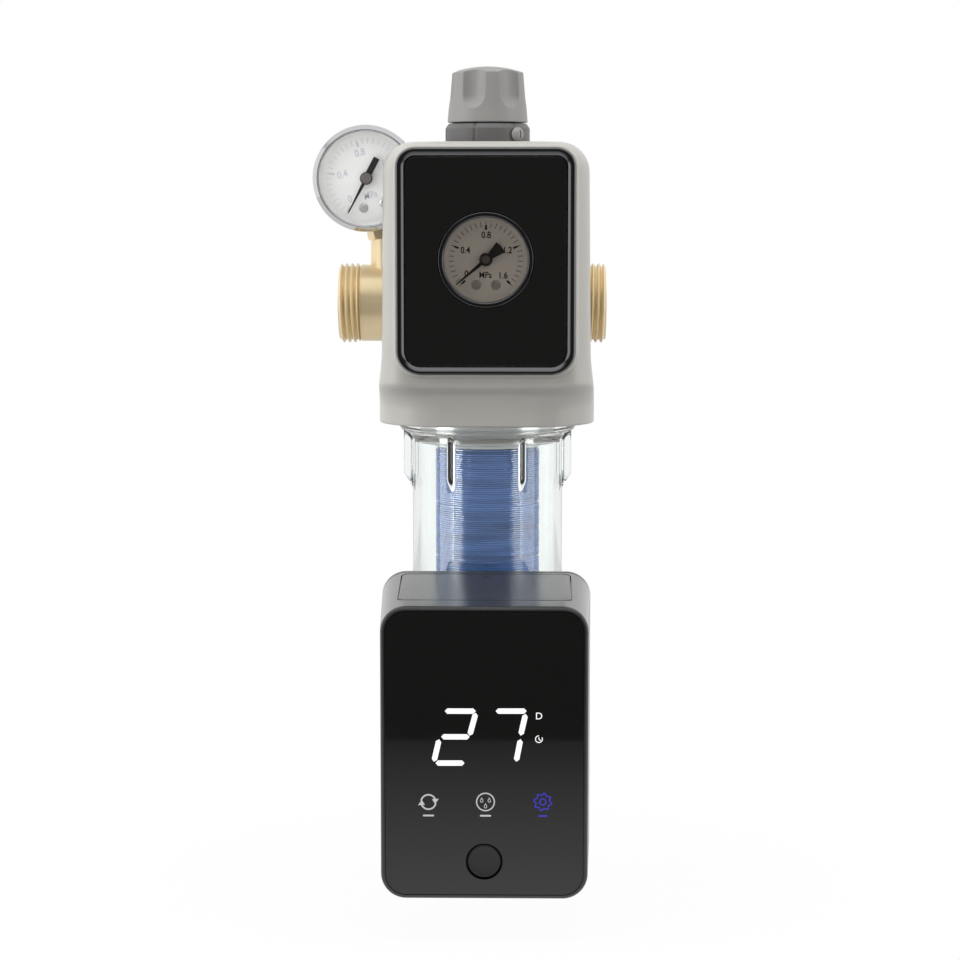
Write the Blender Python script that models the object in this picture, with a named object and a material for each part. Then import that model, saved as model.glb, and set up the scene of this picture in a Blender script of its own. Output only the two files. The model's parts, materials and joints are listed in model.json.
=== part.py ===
"""Self flushing water filter with a pressure reducer and a battery driven drain valve.

Metres, +Z up, front towards -Y. The origin is where the pipe axis (X) meets the bowl axis (Z).
"""

import math
from dataclasses import dataclass

import bmesh
import bpy
from mathutils import Matrix, Vector

mm = 0.001

# Clearances
GAP = 0.3 * mm  # between pieces that seat on each other
RUN = 0.4 * mm  # round pieces that turn or slide
OVER = 1.0 * mm  # cutters reach this far past, and joined shapes this far into each other
TOUCH = 0.001 * mm  # points closer than this are one point

# Sides of round shapes
FINE = 32
ROUND = 24
PLAIN = 18
SMALL = 12
TINY = 8

# Head casting
INLET_END = 62.0 * mm
OUTLET_END = 49.5 * mm
THREAD_CORE_R = 15.2 * mm
INLET_THREAD_LENGTH = 9.0 * mm
OUTLET_THREAD_LENGTH = 8.0 * mm
THREAD_CHAMFER = 0.8 * mm
BARREL_R = 16.0 * mm
BARREL_ROOT_R = 18.0 * mm
BARREL_FLARE = 6.0 * mm
PIPE_BORE_R = 12.2 * mm
COLUMN_R = 20.0 * mm
HEAD_TOP = 40.0 * mm
CHAMBER_WALL = 5.5 * mm
CHAMBER_SHOULDER = -6.0 * mm
HEAD_FLANGE_LIP = 1.0 * mm  # past the bowl's flange
HEAD_FLANGE_TOP = -38.0 * mm
HEAD_FLANGE_BOTTOM = -45.7 * mm
NECK_WALL = 3.8 * mm
NECK_BOTTOM = -58.0 * mm
DIVIDER_TOP = -10.0 * mm
DIVIDER_BOTTOM = -16.0 * mm
DIVIDER_HOLE_R = 9.0 * mm
FLANGE_EDGE = 2.0 * mm
NECK_CHAMFER = 1.0 * mm
COLUMN_BORE_R = 13.0 * mm
DOWN_PASSAGE_R = 4.8 * mm
PASSAGE_WALL = 1.4 * mm
PORT_R = 5.3 * mm
PORT_BOSS_R = 8.5 * mm
PORT_FACE_Y = -24.0 * mm
PORT_DEPTH = 8.0 * mm
PIN_HOLE_R = 1.8 * mm
RISER_X = -41.0 * mm
RISER_R = 8.0 * mm
RISER_FACE = 25.6 * mm  # from the inlet gauge's hub, along its stem

# Housing covers
HOUSING_TOP = 66.3 * mm
HOUSING_BOTTOM = -48.2 * mm
HOUSING_WALL = 2.2 * mm
FACE_Y = -52.0 * mm
BLOCK_BACK_Y = -16.0 * mm
BLOCK_LAP = 10.0 * mm  # how far the rear forms reach into the front block
COVER_PAST_FLANGE = 4.5 * mm
LOWER_TOP = 24.0 * mm
TOP_HALF_WIDTH = 41.5 * mm
WAIST_PAST_CHAMBER = 12.4 * mm
SKIRT_PAST_FLANGE = 6.3 * mm
WAIST_Z = -17.0 * mm
SKIRT_Z = -41.0 * mm
SKIRT_SETBACK = 3.6 * mm
FACE_BOTTOM = -28.0 * mm
SETBACK_EASE = 8.0 * mm
FOOT_DRAW = 0.8 * mm
TOP_CORNER_R = 12.0 * mm
FACE_EDGE_R = 2.3 * mm
PLAN_CORNER_R = 13.0 * mm
SKIRT_CORNER_R = 27.0 * mm
HOOD_HALF_WIDTH = 27.0 * mm
REAR_STEP = 0.4 * mm  # the rear form lies this much inside the front one
HOOD_BACK_Y = 28.0 * mm
HOOD_BACK_R = 8.0 * mm
COVER_BACK_R = 12.0 * mm
SHOULDER_ROUND = 3.0 * mm
BARREL_CLEARANCE = 1.2 * mm
POST_R = 3.4 * mm
LOWER_POST_INSET = 5.8 * mm
LOWER_POST_Z = -27.0 * mm
UPPER_POST = (20.2 * mm, 55.0 * mm)
REAR_POST_R = 3.9 * mm
COVER_SCREW_R = 1.5 * mm
COVER_SCREW_HEAD_R = 2.6 * mm
COVER_SCREW_HEAD = 2.0 * mm
COVER_SCREW_SEAT_Y = 12.0 * mm
COVER_SCREW_BITE = 12.0 * mm

# Front panel
BEZEL_HALF_WIDTH = 35.7 * mm
BEZEL_TOP = 63.7 * mm
BEZEL_BOTTOM = -26.5 * mm
BEZEL_WIDTH = 3.2 * mm
BEZEL_TOP_R = 7.5 * mm
BEZEL_BOTTOM_R = 9.6 * mm
BEZEL_PROUD = 3.0 * mm
PANEL_SET_IN = 0.6 * mm
BEZEL_EDGE = 0.8 * mm

# Pressure reducer
DIAPHRAGM_R = 19.0 * mm
DIAPHRAGM_T = 1.5 * mm
PLATE_R = 11.0 * mm
PLATE_T = 2.0 * mm
BONNET_FLANGE_T = 5.0 * mm
BONNET_R = 15.2 * mm
BONNET_BORE_R = 12.7 * mm
BONNET_WEB_Z = 64.0 * mm
COLLAR_R = 17.6 * mm
COLLAR_TOP = 72.6 * mm
BONNET_TOP = 74.6 * mm
COLLAR_CHAMFER = 1.4 * mm
COLLAR_GROOVES = 8
COLLAR_GROOVE_DEPTH = 0.5 * mm
COLLAR_GROOVE_WIDTH = 1.2 * mm
COLLAR_FLARE = 3.0 * mm
SCREW_THREAD_R = 3.5 * mm
SCREW_SHAFT_R = 4.0 * mm
SCREW_COLLAR_R = 7.0 * mm
SCREW_COLLAR_T = 2.5 * mm
SCREW_TOP = 88.0 * mm
SCREW_CHAMFER = 1.0 * mm
SCREW_END_CLEARANCE = 3.0 * mm
SPRING_WIRE_R = 1.1 * mm
SPRING_TURNS = 3.5
SPRING_R = 9.6 * mm
SPRING_PLATE_T = 3.0 * mm
SPRING_PLATE_Z = 54.6 * mm
LOCK_SCREW_ANGLE = 43.0
LOCK_SCREW_Z = 69.9 * mm
LOCK_SCREW_R = 3.0 * mm
LOCK_SHANK_R = 1.3 * mm
LOCK_SHANK = 5.0 * mm
LOCK_HEAD = 2.7 * mm
CARTRIDGE_SEAT_R = 7.0 * mm
CARTRIDGE_WALL = 1.5 * mm
CARTRIDGE_FOOT = 3.0 * mm
CARTRIDGE_TAPER = 4.0 * mm
GUIDE_RISE = 6.0 * mm  # the piston guide starts this far above the pipe bore
PISTON_EDGE = 2.0 * mm

# Knob
KNOB_BOTTOM = 75.0 * mm
KNOB_EDGE = 95.6 * mm
KNOB_TOP = 98.2 * mm
KNOB_LOW_R = 16.7 * mm
KNOB_HIGH_R = 15.1 * mm
KNOB_FOOT_EDGE = 0.5 * mm
FLUTES = 8
FLUTE_R = 5.2 * mm
FLUTE_DEPTH = 2.7 * mm  # in from the knob's widest radius
FLUTE_LOW = 84.5 * mm
FLUTE_TURN = 14.0

# Gauges, with places counted from each gauge's front plane
WINDOW_T = 1.5 * mm
LIP_T = 1.2 * mm
RING_DEPTH = 5.3 * mm
CASE_FLOOR = 1.5 * mm
CASE_WALL = 1.2 * mm
DIAL_SET_IN = 8.2 * mm
DIAL_T = 0.6 * mm
NEEDLE_SET_IN = 5.4 * mm
NEEDLE_T = 0.5 * mm
NEEDLE_HUB_R = 2.3 * mm
NEEDLE_SHAFT_R = 0.8 * mm
MOVEMENT_HALF_WIDTH = 6.0 * mm
MOVEMENT_LOW = -13.0 * mm
MOVEMENT_HIGH = 4.0 * mm
MOVEMENT_DEPTH = 9.0 * mm
STEM_NECK_R = 4.2 * mm
STEM_STUB_R = 5.0 * mm
BACK_HEXAGON_R = 7.0 * mm
FOOT_HEXAGON_R = 8.1 * mm
GAUGE_EDGE_R = 1.8 * mm
RING_EDGE = 0.6 * mm
SHAFT_PAST_DIAL = 4.0 * mm
BEARING_PAST_SHAFT = 0.7 * mm
HUB_RISE = 0.6 * mm
HUB_BACK = 0.5 * mm
NEEDLE_TIP_HALF_WIDTH = 0.35 * mm
NEEDLE_ROOT_HALF_WIDTH = 1.1 * mm

# Bowl and filter
BOWL_R = 31.6 * mm
BOWL_WALL = 3.0 * mm
BOWL_FLANGE_LIP = 5.4 * mm
BOWL_FLANGE_LOW = -52.5 * mm
BOWL_FLOOR = -163.0 * mm
RIBS = 6
RIB_RISE = 3.8 * mm
RIB_WIDTH = 5.0 * mm
RIB_BEND = -71.7 * mm
RIB_END = -77.6 * mm
NOZZLE_R = 12.0 * mm
NOZZLE_BORE_R = 8.0 * mm
NOZZLE_LENGTH = 10.0 * mm
BOWL_FOOT_R = 9.0 * mm
O_RING_R = 1.25 * mm
FILTER_CLEARANCE = 2.5 * mm  # inside the head's neck
FILTER_BORE_R = 10.0 * mm
FILTER_TOP = -60.0 * mm
FILTER_BOTTOM = -152.0 * mm
FILTER_CAP_T = 3.0 * mm
FILTER_PACKS = 4
FILTER_GROOVE = 1.2 * mm
CAP_TUBE_BORE_R = 6.5 * mm
CAP_TUBE_SET_IN = 2.0 * mm
FOOT_R = 14.0 * mm
FOOT_WALL = 3.0 * mm

# Two gauges: the hub is on the front plane
OUTLET_HUB = (0.0, -54.9 * mm, 19.35 * mm)
OUTLET_RING_R = 19.1 * mm
OUTLET_RING_LIP = 2.1 * mm
OUTLET_RING_WALL = 0.9 * mm
OUTLET_DEPTH = 24.9 * mm
OUTLET_NEEDLE_TURN = 230.0
OUTLET_NEEDLE_REACH = 15.0 * mm
OUTLET_TAIL_REACH = 8.0 * mm
OUTLET_TAIL_HALF_WIDTH = 2.6 * mm
INLET_HUB = (-50.3 * mm, -14.0 * mm, 51.9 * mm)
INLET_TILT = 15.0
INLET_RING_R = 22.0 * mm
INLET_RING_LIP = 2.6 * mm
INLET_RING_WALL = 0.8 * mm
INLET_DEPTH = 26.0 * mm
INLET_NEEDLE_TURN = 222.8
INLET_NEEDLE_REACH = 15.8 * mm
INLET_TAIL_REACH = 9.4 * mm
INLET_TAIL_HALF_WIDTH = 1.3 * mm

# Drain valve
VALVE_Z = -193.0 * mm
VALVE_R = 15.5 * mm
BALL_R = 9.0 * mm
BALL_BORE_R = 6.0 * mm
SEAT_R = 10.9 * mm
SEAT_HEIGHT = 10.7 * mm
VALVE_LOW = 17.0 * mm
VALVE_SOCKET_WALL = 3.2 * mm
FLANGE_HALF_WIDTH = 20.0 * mm
FLANGE_HALF_HEIGHT = 14.0 * mm
FLANGE_T = 4.0 * mm
FLANGE_CORNER_R = 4.0 * mm
FLANGE_SCREW_R = 1.5 * mm
FLANGE_SCREW_HEAD_R = 2.5 * mm
FLANGE_SCREW_HEAD = 1.4 * mm
FLANGE_SCREW_INSET = 3.5 * mm
VALVE_BOSS_R = 9.0 * mm
STEM_R = 3.5 * mm
SEAL_R = 6.2 * mm
SEAL_LENGTH = 6.1 * mm
BLADE_HALF_WIDTH = 1.2 * mm
BLADE_HALF_HEIGHT = 3.0 * mm
BLADE_LENGTH = 2.8 * mm
STEM_SHOULDER = 1.0 * mm  # from the ball to the stem's round end
SPOUT_END = -248.0 * mm
SPOUT_COLLAR = 6.0 * mm
SEAT_CLEARANCE = 0.4 * mm
HOSE_TAIL_R = 8.6 * mm
BARBS = 3
BARB_HEIGHT = 0.9 * mm

# Gear drive, as wide as the controller case lets it be
CASE_HALF_WIDTH = 42.9 * mm
GEAR_MODULE = CASE_HALF_WIDTH / 34.32
GEAR_TEETH = 24
PINION_TEETH = 10
TOOTH_SHARE = 0.40  # tooth width as a share of the pitch
GEAR_T = 4.0 * mm
PINION_SHAFT_R = 1.5 * mm
DRIVE_PLATE_T = 1.8 * mm
MOTOR_R = 8 * GEAR_MODULE
MOTOR_LENGTH = 25.0 * mm
PRESSURE_ANGLE = 20.0
GEAR_GAP = 2.3 * mm  # from the rear shell to the gears
PLATE_GAP = 2.0 * mm  # from the gears to the plate
MOTOR_BOSS_SHARE = 0.35
MOTOR_BOSS = 1.5 * mm
MOTOR_EDGE = 1.0 * mm
SHAFT_IN_MOTOR = 5.0 * mm
DRIVE_POST_X = (-20.8 * GEAR_MODULE, 27.6 * GEAR_MODULE)
DRIVE_POST_R = 3.3 * mm
DRIVE_PIN_R = 1.6 * mm
DRIVE_PIN_PROUD = 1.0 * mm
DRIVE_PLATE_HALF_HEIGHT = 9.0 * mm
DRIVE_PLATE_MARGIN = (4.0 * mm, 3.4 * mm)  # past the posts, left and right
DRIVE_PLATE_CORNER_R = 3.0 * mm

# Controller case
CASE_CLEARANCE = 2.4 * mm  # in front of the bowl
CASE_DEPTH = 54.0 * mm
CASE_TOP_BACK = -108.6 * mm
CASE_TOP_SLOPE = 0.1185
CASE_BOTTOM = -232.1 * mm
CASE_DRAFT = 0.037
CASE_CORNER_R = 10.0 * mm
CASE_EDGE_R = 1.6 * mm
REAR_EDGE = 1.2 * mm
CASE_WALL_T = 2.6 * mm
CASE_FRONT_WALL = 1.6 * mm
REAR_SHELL_T = 2.7 * mm
LIP_DEPTH = 2.2 * mm
LIP_WALL = 1.5 * mm
GLASS_T = 1.9 * mm
GLASS_PROUD = 0.2 * mm
DISPLAY_HALF_WIDTH = 26.5 * mm
DISPLAY_TOP = -152.0 * mm
DISPLAY_BOTTOM = -200.0 * mm
BUTTON_Z = -216.8 * mm
BUTTON_R = 6.9 * mm
BUTTON_SET_IN = 0.6 * mm
BUTTON_FLANGE = 1.7 * mm
BUTTON_FLANGE_T = 1.4 * mm
BUTTON_TRAVEL = 1.0 * mm
BUTTON_EDGE = 0.7 * mm
BUTTON_DISH = 0.4 * mm
SWITCH_HALF_WIDTH = 3.0 * mm
DISPLAY_MARGIN = 1.0 * mm
BOARD_HALF_WIDTH = 30.0 * mm
BOARD_TOP = -128.0 * mm
BOARD_BOTTOM = -225.0 * mm
BOARD_T = 1.6 * mm
BOARD_SET_IN = 4.5 * mm  # behind the front wall
STANDOFF_R = 2.5 * mm
STANDOFF_INSET = 5.0 * mm

# Battery compartment
LID_HALF_WIDTH = 34.3 * mm
LID_SET_IN = 5.5 * mm
LID_LENGTH = 38.5 * mm
LID_T = 1.3 * mm
LEDGE = 1.8 * mm
LID_PLUG_T = 1.1 * mm
BATTERY_R = 7.25 * mm
BATTERY_LENGTH = 50.5 * mm
BATTERIES = 4
BATTERY_PITCH = 15.4 * mm
BATTERY_SET_IN = 17.5 * mm
TRAY_TOP = -116.0 * mm
TRAY_FLOOR = 1.5 * mm
TRAY_WALL = 1.3 * mm
NUB_R = 2.7 * mm
NUB_HEIGHT = 1.2 * mm
CELL_SET_IN = 3.5 * mm  # below the tray's top
TRAY_SLOT_WALL = 2.0 * mm

# Worked out from the sizes above
BOWL_BORE_R = BOWL_R - BOWL_WALL
NECK_R = BOWL_BORE_R - GAP
NECK_BORE_R = NECK_R - NECK_WALL
CHAMBER_R = NECK_BORE_R + CHAMBER_WALL
FILTER_R = NECK_BORE_R - FILTER_CLEARANCE
BOWL_FLANGE_R = BOWL_R + BOWL_FLANGE_LIP
HEAD_FLANGE_R = BOWL_FLANGE_R + HEAD_FLANGE_LIP
RIB_R = BOWL_R + RIB_RISE
WAIST_HALF_WIDTH = CHAMBER_R + WAIST_PAST_CHAMBER
SKIRT_HALF_WIDTH = HEAD_FLANGE_R + SKIRT_PAST_FLANGE
COVER_BACK_Y = HEAD_FLANGE_R + COVER_PAST_FLANGE
LOWER_POST = (WAIST_HALF_WIDTH - LOWER_POST_INSET, LOWER_POST_Z)
CASE_BACK_Y = -(BOWL_R + CASE_CLEARANCE)
CASE_FRONT_Y = CASE_BACK_Y - CASE_DEPTH
LID_BACK_Y = CASE_BACK_Y - LID_SET_IN
LID_FRONT_Y = LID_BACK_Y - LID_LENGTH
BATTERY_Y = CASE_BACK_Y - BATTERY_SET_IN
DIAPHRAGM_Z = HEAD_TOP + GAP
PLATE_Z = DIAPHRAGM_Z + DIAPHRAGM_T + GAP
BONNET_Z = PLATE_Z
SPRING_Z = PLATE_Z + PLATE_T + GAP
BEZEL_BACK_Y = FACE_Y - GAP
BEZEL_FRONT_Y = BEZEL_BACK_Y - BEZEL_PROUD
PANEL_FRONT_Y = BEZEL_FRONT_Y + PANEL_SET_IN
BOWL_TOP = HEAD_FLANGE_BOTTOM - GAP
FILTER_FOOT_Z = BOWL_FLOOR + GAP
NOZZLE_END = BOWL_FLOOR - BOWL_WALL - NOZZLE_LENGTH
VALVE_TOP = NOZZLE_END + NOZZLE_LENGTH - GAP
CHAMBER_TOP = VALVE_Z + SEAT_HEIGHT + GAP
FLANGE_FRONT_Y = CASE_BACK_Y + GAP
FLANGE_BACK_Y = FLANGE_FRONT_Y + FLANGE_T
REAR_SHELL_FRONT_Y = CASE_BACK_Y - REAR_SHELL_T
FRONT_SHELL_BACK_Y = REAR_SHELL_FRONT_Y - GAP
GEAR_BACK_Y = REAR_SHELL_FRONT_Y - GEAR_GAP
GEAR_FRONT_Y = GEAR_BACK_Y - GEAR_T
DRIVE_PLATE_Y = GEAR_FRONT_Y - PLATE_GAP
PINION_X = GEAR_MODULE * (GEAR_TEETH + PINION_TEETH) / 2 + GAP / 2
GLASS_BACK_Y = CASE_FRONT_Y - GLASS_PROUD + GLASS_T
FRONT_WALL_Y = GLASS_BACK_Y + GAP
FRONT_WALL_BACK_Y = FRONT_WALL_Y + CASE_FRONT_WALL
BOARD_FRONT_Y = FRONT_WALL_BACK_Y + BOARD_SET_IN
BUTTON_FLANGE_Y = FRONT_WALL_BACK_Y + GAP

SPUN_ABOUT = {
    "X": Matrix.Rotation(math.radians(90.0), 4, "Y"),
    "Y": Matrix.Rotation(math.radians(-90.0), 4, "X"),
    "Z": Matrix.Identity(4),
}


def paint(name, red, green, blue, roughness, metallic=0.0, transmission=0.0):
    """A material from an sRGB colour of 0 to 255."""
    material = bpy.data.materials.new(name)
    material.use_nodes = True
    shader = material.node_tree.nodes["Principled BSDF"]
    linear = [((part / 255.0 + 0.055) / 1.055) ** 2.4 for part in (red, green, blue)]
    shader.inputs["Base Color"].default_value = (*linear, 1.0)
    shader.inputs["Roughness"].default_value = roughness
    shader.inputs["Metallic"].default_value = metallic
    shader.inputs["Transmission Weight"].default_value = transmission
    material.diffuse_color = (*linear, 1.0)
    return material


def new_object(name, bm, material=None, origin=(0.0, 0.0, 0.0)):
    """Make an object of a bmesh, with its origin where it turns or slides."""
    bm.normal_update()
    bmesh.ops.recalc_face_normals(bm, faces=bm.faces)
    bmesh.ops.translate(bm, vec=-Vector(origin), verts=bm.verts)
    mesh = bpy.data.meshes.new(name)
    bm.to_mesh(mesh)
    bm.free()
    mesh.shade_smooth()
    mesh.set_sharp_from_angle(angle=math.radians(35.0))
    if material:
        mesh.materials.append(material)
    obj = bpy.data.objects.new(name, mesh)
    obj.location = origin
    bpy.context.scene.collection.objects.link(obj)
    return obj


def boolean(obj, tool, operation):
    """Join, cut or keep what two solids share, with the tool hidden."""
    if isinstance(tool, bmesh.types.BMesh):
        tool = new_object("tool_of_" + obj.name, tool)
    tool.hide_render = True
    tool.display_type = "WIRE"
    modifier = obj.modifiers.new(operation.lower(), "BOOLEAN")
    modifier.operation = operation
    modifier.solver = "EXACT"
    modifier.object = tool


def join(obj, *tools):
    for tool in tools:
        boolean(obj, tool, "UNION")


def cut(obj, *tools):
    for tool in tools:
        boolean(obj, tool, "DIFFERENCE")


def turned(profile, axis="Z", centre=(0.0, 0.0, 0.0), steps=ROUND):
    """Spin a closed profile of (radius, height) points about an axis through the centre."""
    bm = bmesh.new()
    verts = [bm.verts.new((radius, 0.0, height)) for radius, height in profile]
    edges = []
    for index, vert in enumerate(verts):
        previous = verts[index - 1]
        if vert.co.x > 0.0 or previous.co.x > 0.0:
            edges.append(bm.edges.new((previous, vert)))
    bmesh.ops.spin(
        bm, geom=verts + edges, cent=(0, 0, 0), axis=(0, 0, 1), angle=math.tau, steps=steps, use_merge=True
    )
    bmesh.ops.remove_doubles(bm, verts=bm.verts, dist=TOUCH)
    flat_ends = {
        height for index, (radius, height) in enumerate(profile) if radius == 0.0
        and height in (profile[index - 1][1], profile[(index + 1) % len(profile)][1])
    }
    middles = [
        vert for vert in bm.verts
        if vert.co.xy.length < TOUCH and any(abs(vert.co.z - height) < TOUCH for height in flat_ends)
    ]
    bmesh.ops.dissolve_verts(bm, verts=middles)
    bm.transform(Matrix.Translation(centre) @ SPUN_ABOUT[axis])
    return bm


def rod(radius, low, high, axis="Z", centre=(0.0, 0.0, 0.0), steps=PLAIN):
    return turned([(0.0, low), (radius, low), (radius, high), (0.0, high)], axis, centre, steps)


def ring(inner, outer, low, high, axis="Z", centre=(0.0, 0.0, 0.0), steps=ROUND):
    return turned([(inner, low), (outer, low), (outer, high), (inner, high)], axis, centre, steps)


def block(x, y, z):
    """A box between three (low, high) pairs."""
    bm = bmesh.new()
    bmesh.ops.create_cube(bm, size=1.0)
    size = [high - low for low, high in (x, y, z)]
    middle = [(high + low) / 2 for low, high in (x, y, z)]
    bm.transform(Matrix.Translation(middle) @ Matrix.Diagonal((*size, 1.0)))
    return bm


def extruded(outline, low, high, axis="Z"):
    """Extrude an outline. Its two coordinates are XY, XZ or YZ, and axis is the third."""
    place = {
        "X": lambda u, v: (low, u, v),
        "Y": lambda u, v: (u, low, v),
        "Z": lambda u, v: (u, v, low),
    }[axis]
    along = {"X": (high - low, 0, 0), "Y": (0, high - low, 0), "Z": (0, 0, high - low)}[axis]
    bm = bmesh.new()
    face = bm.faces.new([bm.verts.new(place(u, v)) for u, v in outline])
    grown = bmesh.ops.extrude_face_region(bm, geom=[face], use_keep_orig=True)
    verts = [item for item in grown["geom"] if isinstance(item, bmesh.types.BMVert)]
    bmesh.ops.translate(bm, vec=along, verts=verts)
    return bm


def rounded(x, y, radii, steps=5):
    """A rectangle between two (low, high) pairs with four corner radii, from low x and low y round."""
    corners = (
        (x[0], y[0], 1, 1, 180), (x[1], y[0], -1, 1, 270),
        (x[1], y[1], -1, -1, 0), (x[0], y[1], 1, -1, 90),
    )
    points = []
    for (corner_x, corner_y, side_x, side_y, start), radius in zip(corners, radii):
        for step in range(steps + 1):
            angle = math.radians(start + 90.0 * step / steps)
            points.append((
                corner_x + radius * (side_x + math.cos(angle)),
                corner_y + radius * (side_y + math.sin(angle)),
            ))
    return points


def loft(sections):
    """Skin a row of sections of equally many points and close both ends."""
    bm = bmesh.new()
    rows = [[bm.verts.new(point) for point in section] for section in sections]
    for low, high in zip(rows, rows[1:]):
        for index in range(len(low)):
            bm.faces.new((low[index - 1], low[index], high[index], high[index - 1]))
    bm.faces.new(rows[0])
    bm.faces.new(rows[-1])
    return bm


def merged(shapes):
    """Several solids that don't meet, in one bmesh."""
    whole = bmesh.new()
    for shape in shapes:
        part = bpy.data.meshes.new("part")
        shape.to_mesh(part)
        shape.free()
        whole.from_mesh(part)
        bpy.data.meshes.remove(part)
    return whole


def pan_screw(name, material, axis, centre, head_r, head_h, shank_r, length, facing=1.0):
    """A pan head screw whose head starts at the centre and rises along facing times the axis."""
    profile = [
        (0.0, -length), (shank_r, -length + shank_r), (shank_r, 0.0), (head_r, 0.0),
        (head_r, head_h * 0.5), (head_r * 0.75, head_h), (0.0, head_h),
    ]
    profile = [(radius, height * facing) for radius, height in profile]
    return new_object(name, turned(profile, axis, centre, TINY), material)


# Head casting


def on_gauge(hub, tilt):
    """Takes a gauge's own frame, hub at the origin, to its place on the product."""
    return Matrix.Translation(hub) @ Matrix.Rotation(math.radians(-tilt), 4, "Y")


def head_body(material, inlet_gauge, outlet_gauge):
    column = turned([
        (0.0, HEAD_TOP), (COLUMN_R, HEAD_TOP), (COLUMN_R, BARREL_R), (CHAMBER_R, CHAMBER_SHOULDER),
        (CHAMBER_R, HEAD_FLANGE_TOP + FLANGE_EDGE), (HEAD_FLANGE_R, HEAD_FLANGE_TOP),
        (HEAD_FLANGE_R, HEAD_FLANGE_BOTTOM), (NECK_R, HEAD_FLANGE_BOTTOM), (NECK_R, NECK_BOTTOM + NECK_CHAMFER),
        (NECK_R - NECK_CHAMFER, NECK_BOTTOM), (0.0, NECK_BOTTOM),
    ])
    body = new_object("head_body", column, material)
    barrel = turned([
        (0.0, -INLET_END), (THREAD_CORE_R - THREAD_CHAMFER, -INLET_END),
        (THREAD_CORE_R, -INLET_END + THREAD_CHAMFER), (THREAD_CORE_R, -INLET_END + INLET_THREAD_LENGTH),
        (BARREL_R, -INLET_END + INLET_THREAD_LENGTH), (BARREL_R, RISER_X),
        (BARREL_ROOT_R, RISER_X + BARREL_FLARE), (BARREL_ROOT_R, -RISER_X - BARREL_FLARE),
        (BARREL_R, -RISER_X), (BARREL_R, OUTLET_END - OUTLET_THREAD_LENGTH),
        (THREAD_CORE_R, OUTLET_END - OUTLET_THREAD_LENGTH), (THREAD_CORE_R, OUTLET_END - THREAD_CHAMFER),
        (THREAD_CORE_R - THREAD_CHAMFER, OUTLET_END), (0.0, OUTLET_END),
    ], "X")
    hub_z = outlet_gauge.hub[2]
    port_boss = rod(PORT_BOSS_R, PORT_FACE_Y, -COLUMN_BORE_R - 2 * OVER, "Y", (0, 0, hub_z))
    riser = rod(RISER_R, 0.5 * BARREL_R, 2.2 * BARREL_R, "Z", (RISER_X, 0, 0))
    join(body, barrel, port_boss, riser)

    frame = on_gauge((inlet_gauge.hub[0], 0.0, inlet_gauge.hub[2]), inlet_gauge.tilt)
    reach = 1.9 * RISER_R
    above = block((-reach, reach), (-reach, reach), (-RISER_FACE, -0.2 * RISER_FACE))
    above.transform(frame)
    gauge_port = rod(PORT_R, -RISER_FACE - PORT_DEPTH, -0.8 * RISER_FACE)
    gauge_port.transform(frame)
    cut(body, above)
    cut(body, turned([
        (0.0, HEAD_TOP + OVER), (COLUMN_BORE_R, HEAD_TOP + OVER), (COLUMN_BORE_R, DIVIDER_TOP),
        (DIVIDER_HOLE_R, DIVIDER_TOP), (DIVIDER_HOLE_R, DIVIDER_BOTTOM), (NECK_BORE_R, DIVIDER_BOTTOM),
        (NECK_BORE_R, NECK_BOTTOM - OVER), (0.0, NECK_BOTTOM - OVER),
    ]))
    inlet_stop = -COLUMN_BORE_R - NECK_WALL
    cut(body, rod(PIPE_BORE_R, -INLET_END - OVER, inlet_stop, "X"))
    cut(body, rod(PIPE_BORE_R, 0.8 * COLUMN_BORE_R, OUTLET_END + OVER, "X"))
    passage_x = -COLUMN_BORE_R - PASSAGE_WALL - DOWN_PASSAGE_R
    cut(body, rod(DOWN_PASSAGE_R, DIVIDER_BOTTOM - OVER, -0.4 * PIPE_BORE_R, "Z", (passage_x, 0, 0), SMALL))
    cut(body, gauge_port)
    cut(body, rod(PIN_HOLE_R, 0.7 * PIPE_BORE_R, RISER_X * -0.5, "Z", (RISER_X, 0, 0), TINY))
    cut(body, rod(PORT_R, PORT_FACE_Y - OVER, PORT_FACE_Y + PORT_DEPTH, "Y", (0, 0, hub_z), PLAIN))
    cut(body, rod(PIN_HOLE_R, PORT_FACE_Y, -0.9 * COLUMN_BORE_R, "Y", (0, 0, hub_z), TINY))
    return body


# Housing covers


def half_width(z):
    """Half width of the housing: nearly straight down to the waist, then flared to the skirt."""
    if z > WAIST_Z:
        share = (z - WAIST_Z) / (HOUSING_TOP - WAIST_Z)
        return WAIST_HALF_WIDTH + (TOP_HALF_WIDTH - WAIST_HALF_WIDTH) * share
    share = min((WAIST_Z - z) / (WAIST_Z - SKIRT_Z), 1.0)
    return WAIST_HALF_WIDTH + (SKIRT_HALF_WIDTH - WAIST_HALF_WIDTH) * share * share * (3 - 2 * share)


def face_setback(z):
    """How far the front lies behind the face: none beside the panel, then an eased step back."""
    share = min(max((FACE_BOTTOM - z) / SETBACK_EASE, 0.0), 1.0)
    return SKIRT_SETBACK * share * share * (3 - 2 * share)


def corner_inset(z, top, radius):
    """How far a corner of the given radius draws in at height z."""
    rise = max(z - (top - radius), 0.0)
    return radius - math.sqrt(max(radius * radius - rise * rise, 0.0))


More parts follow.
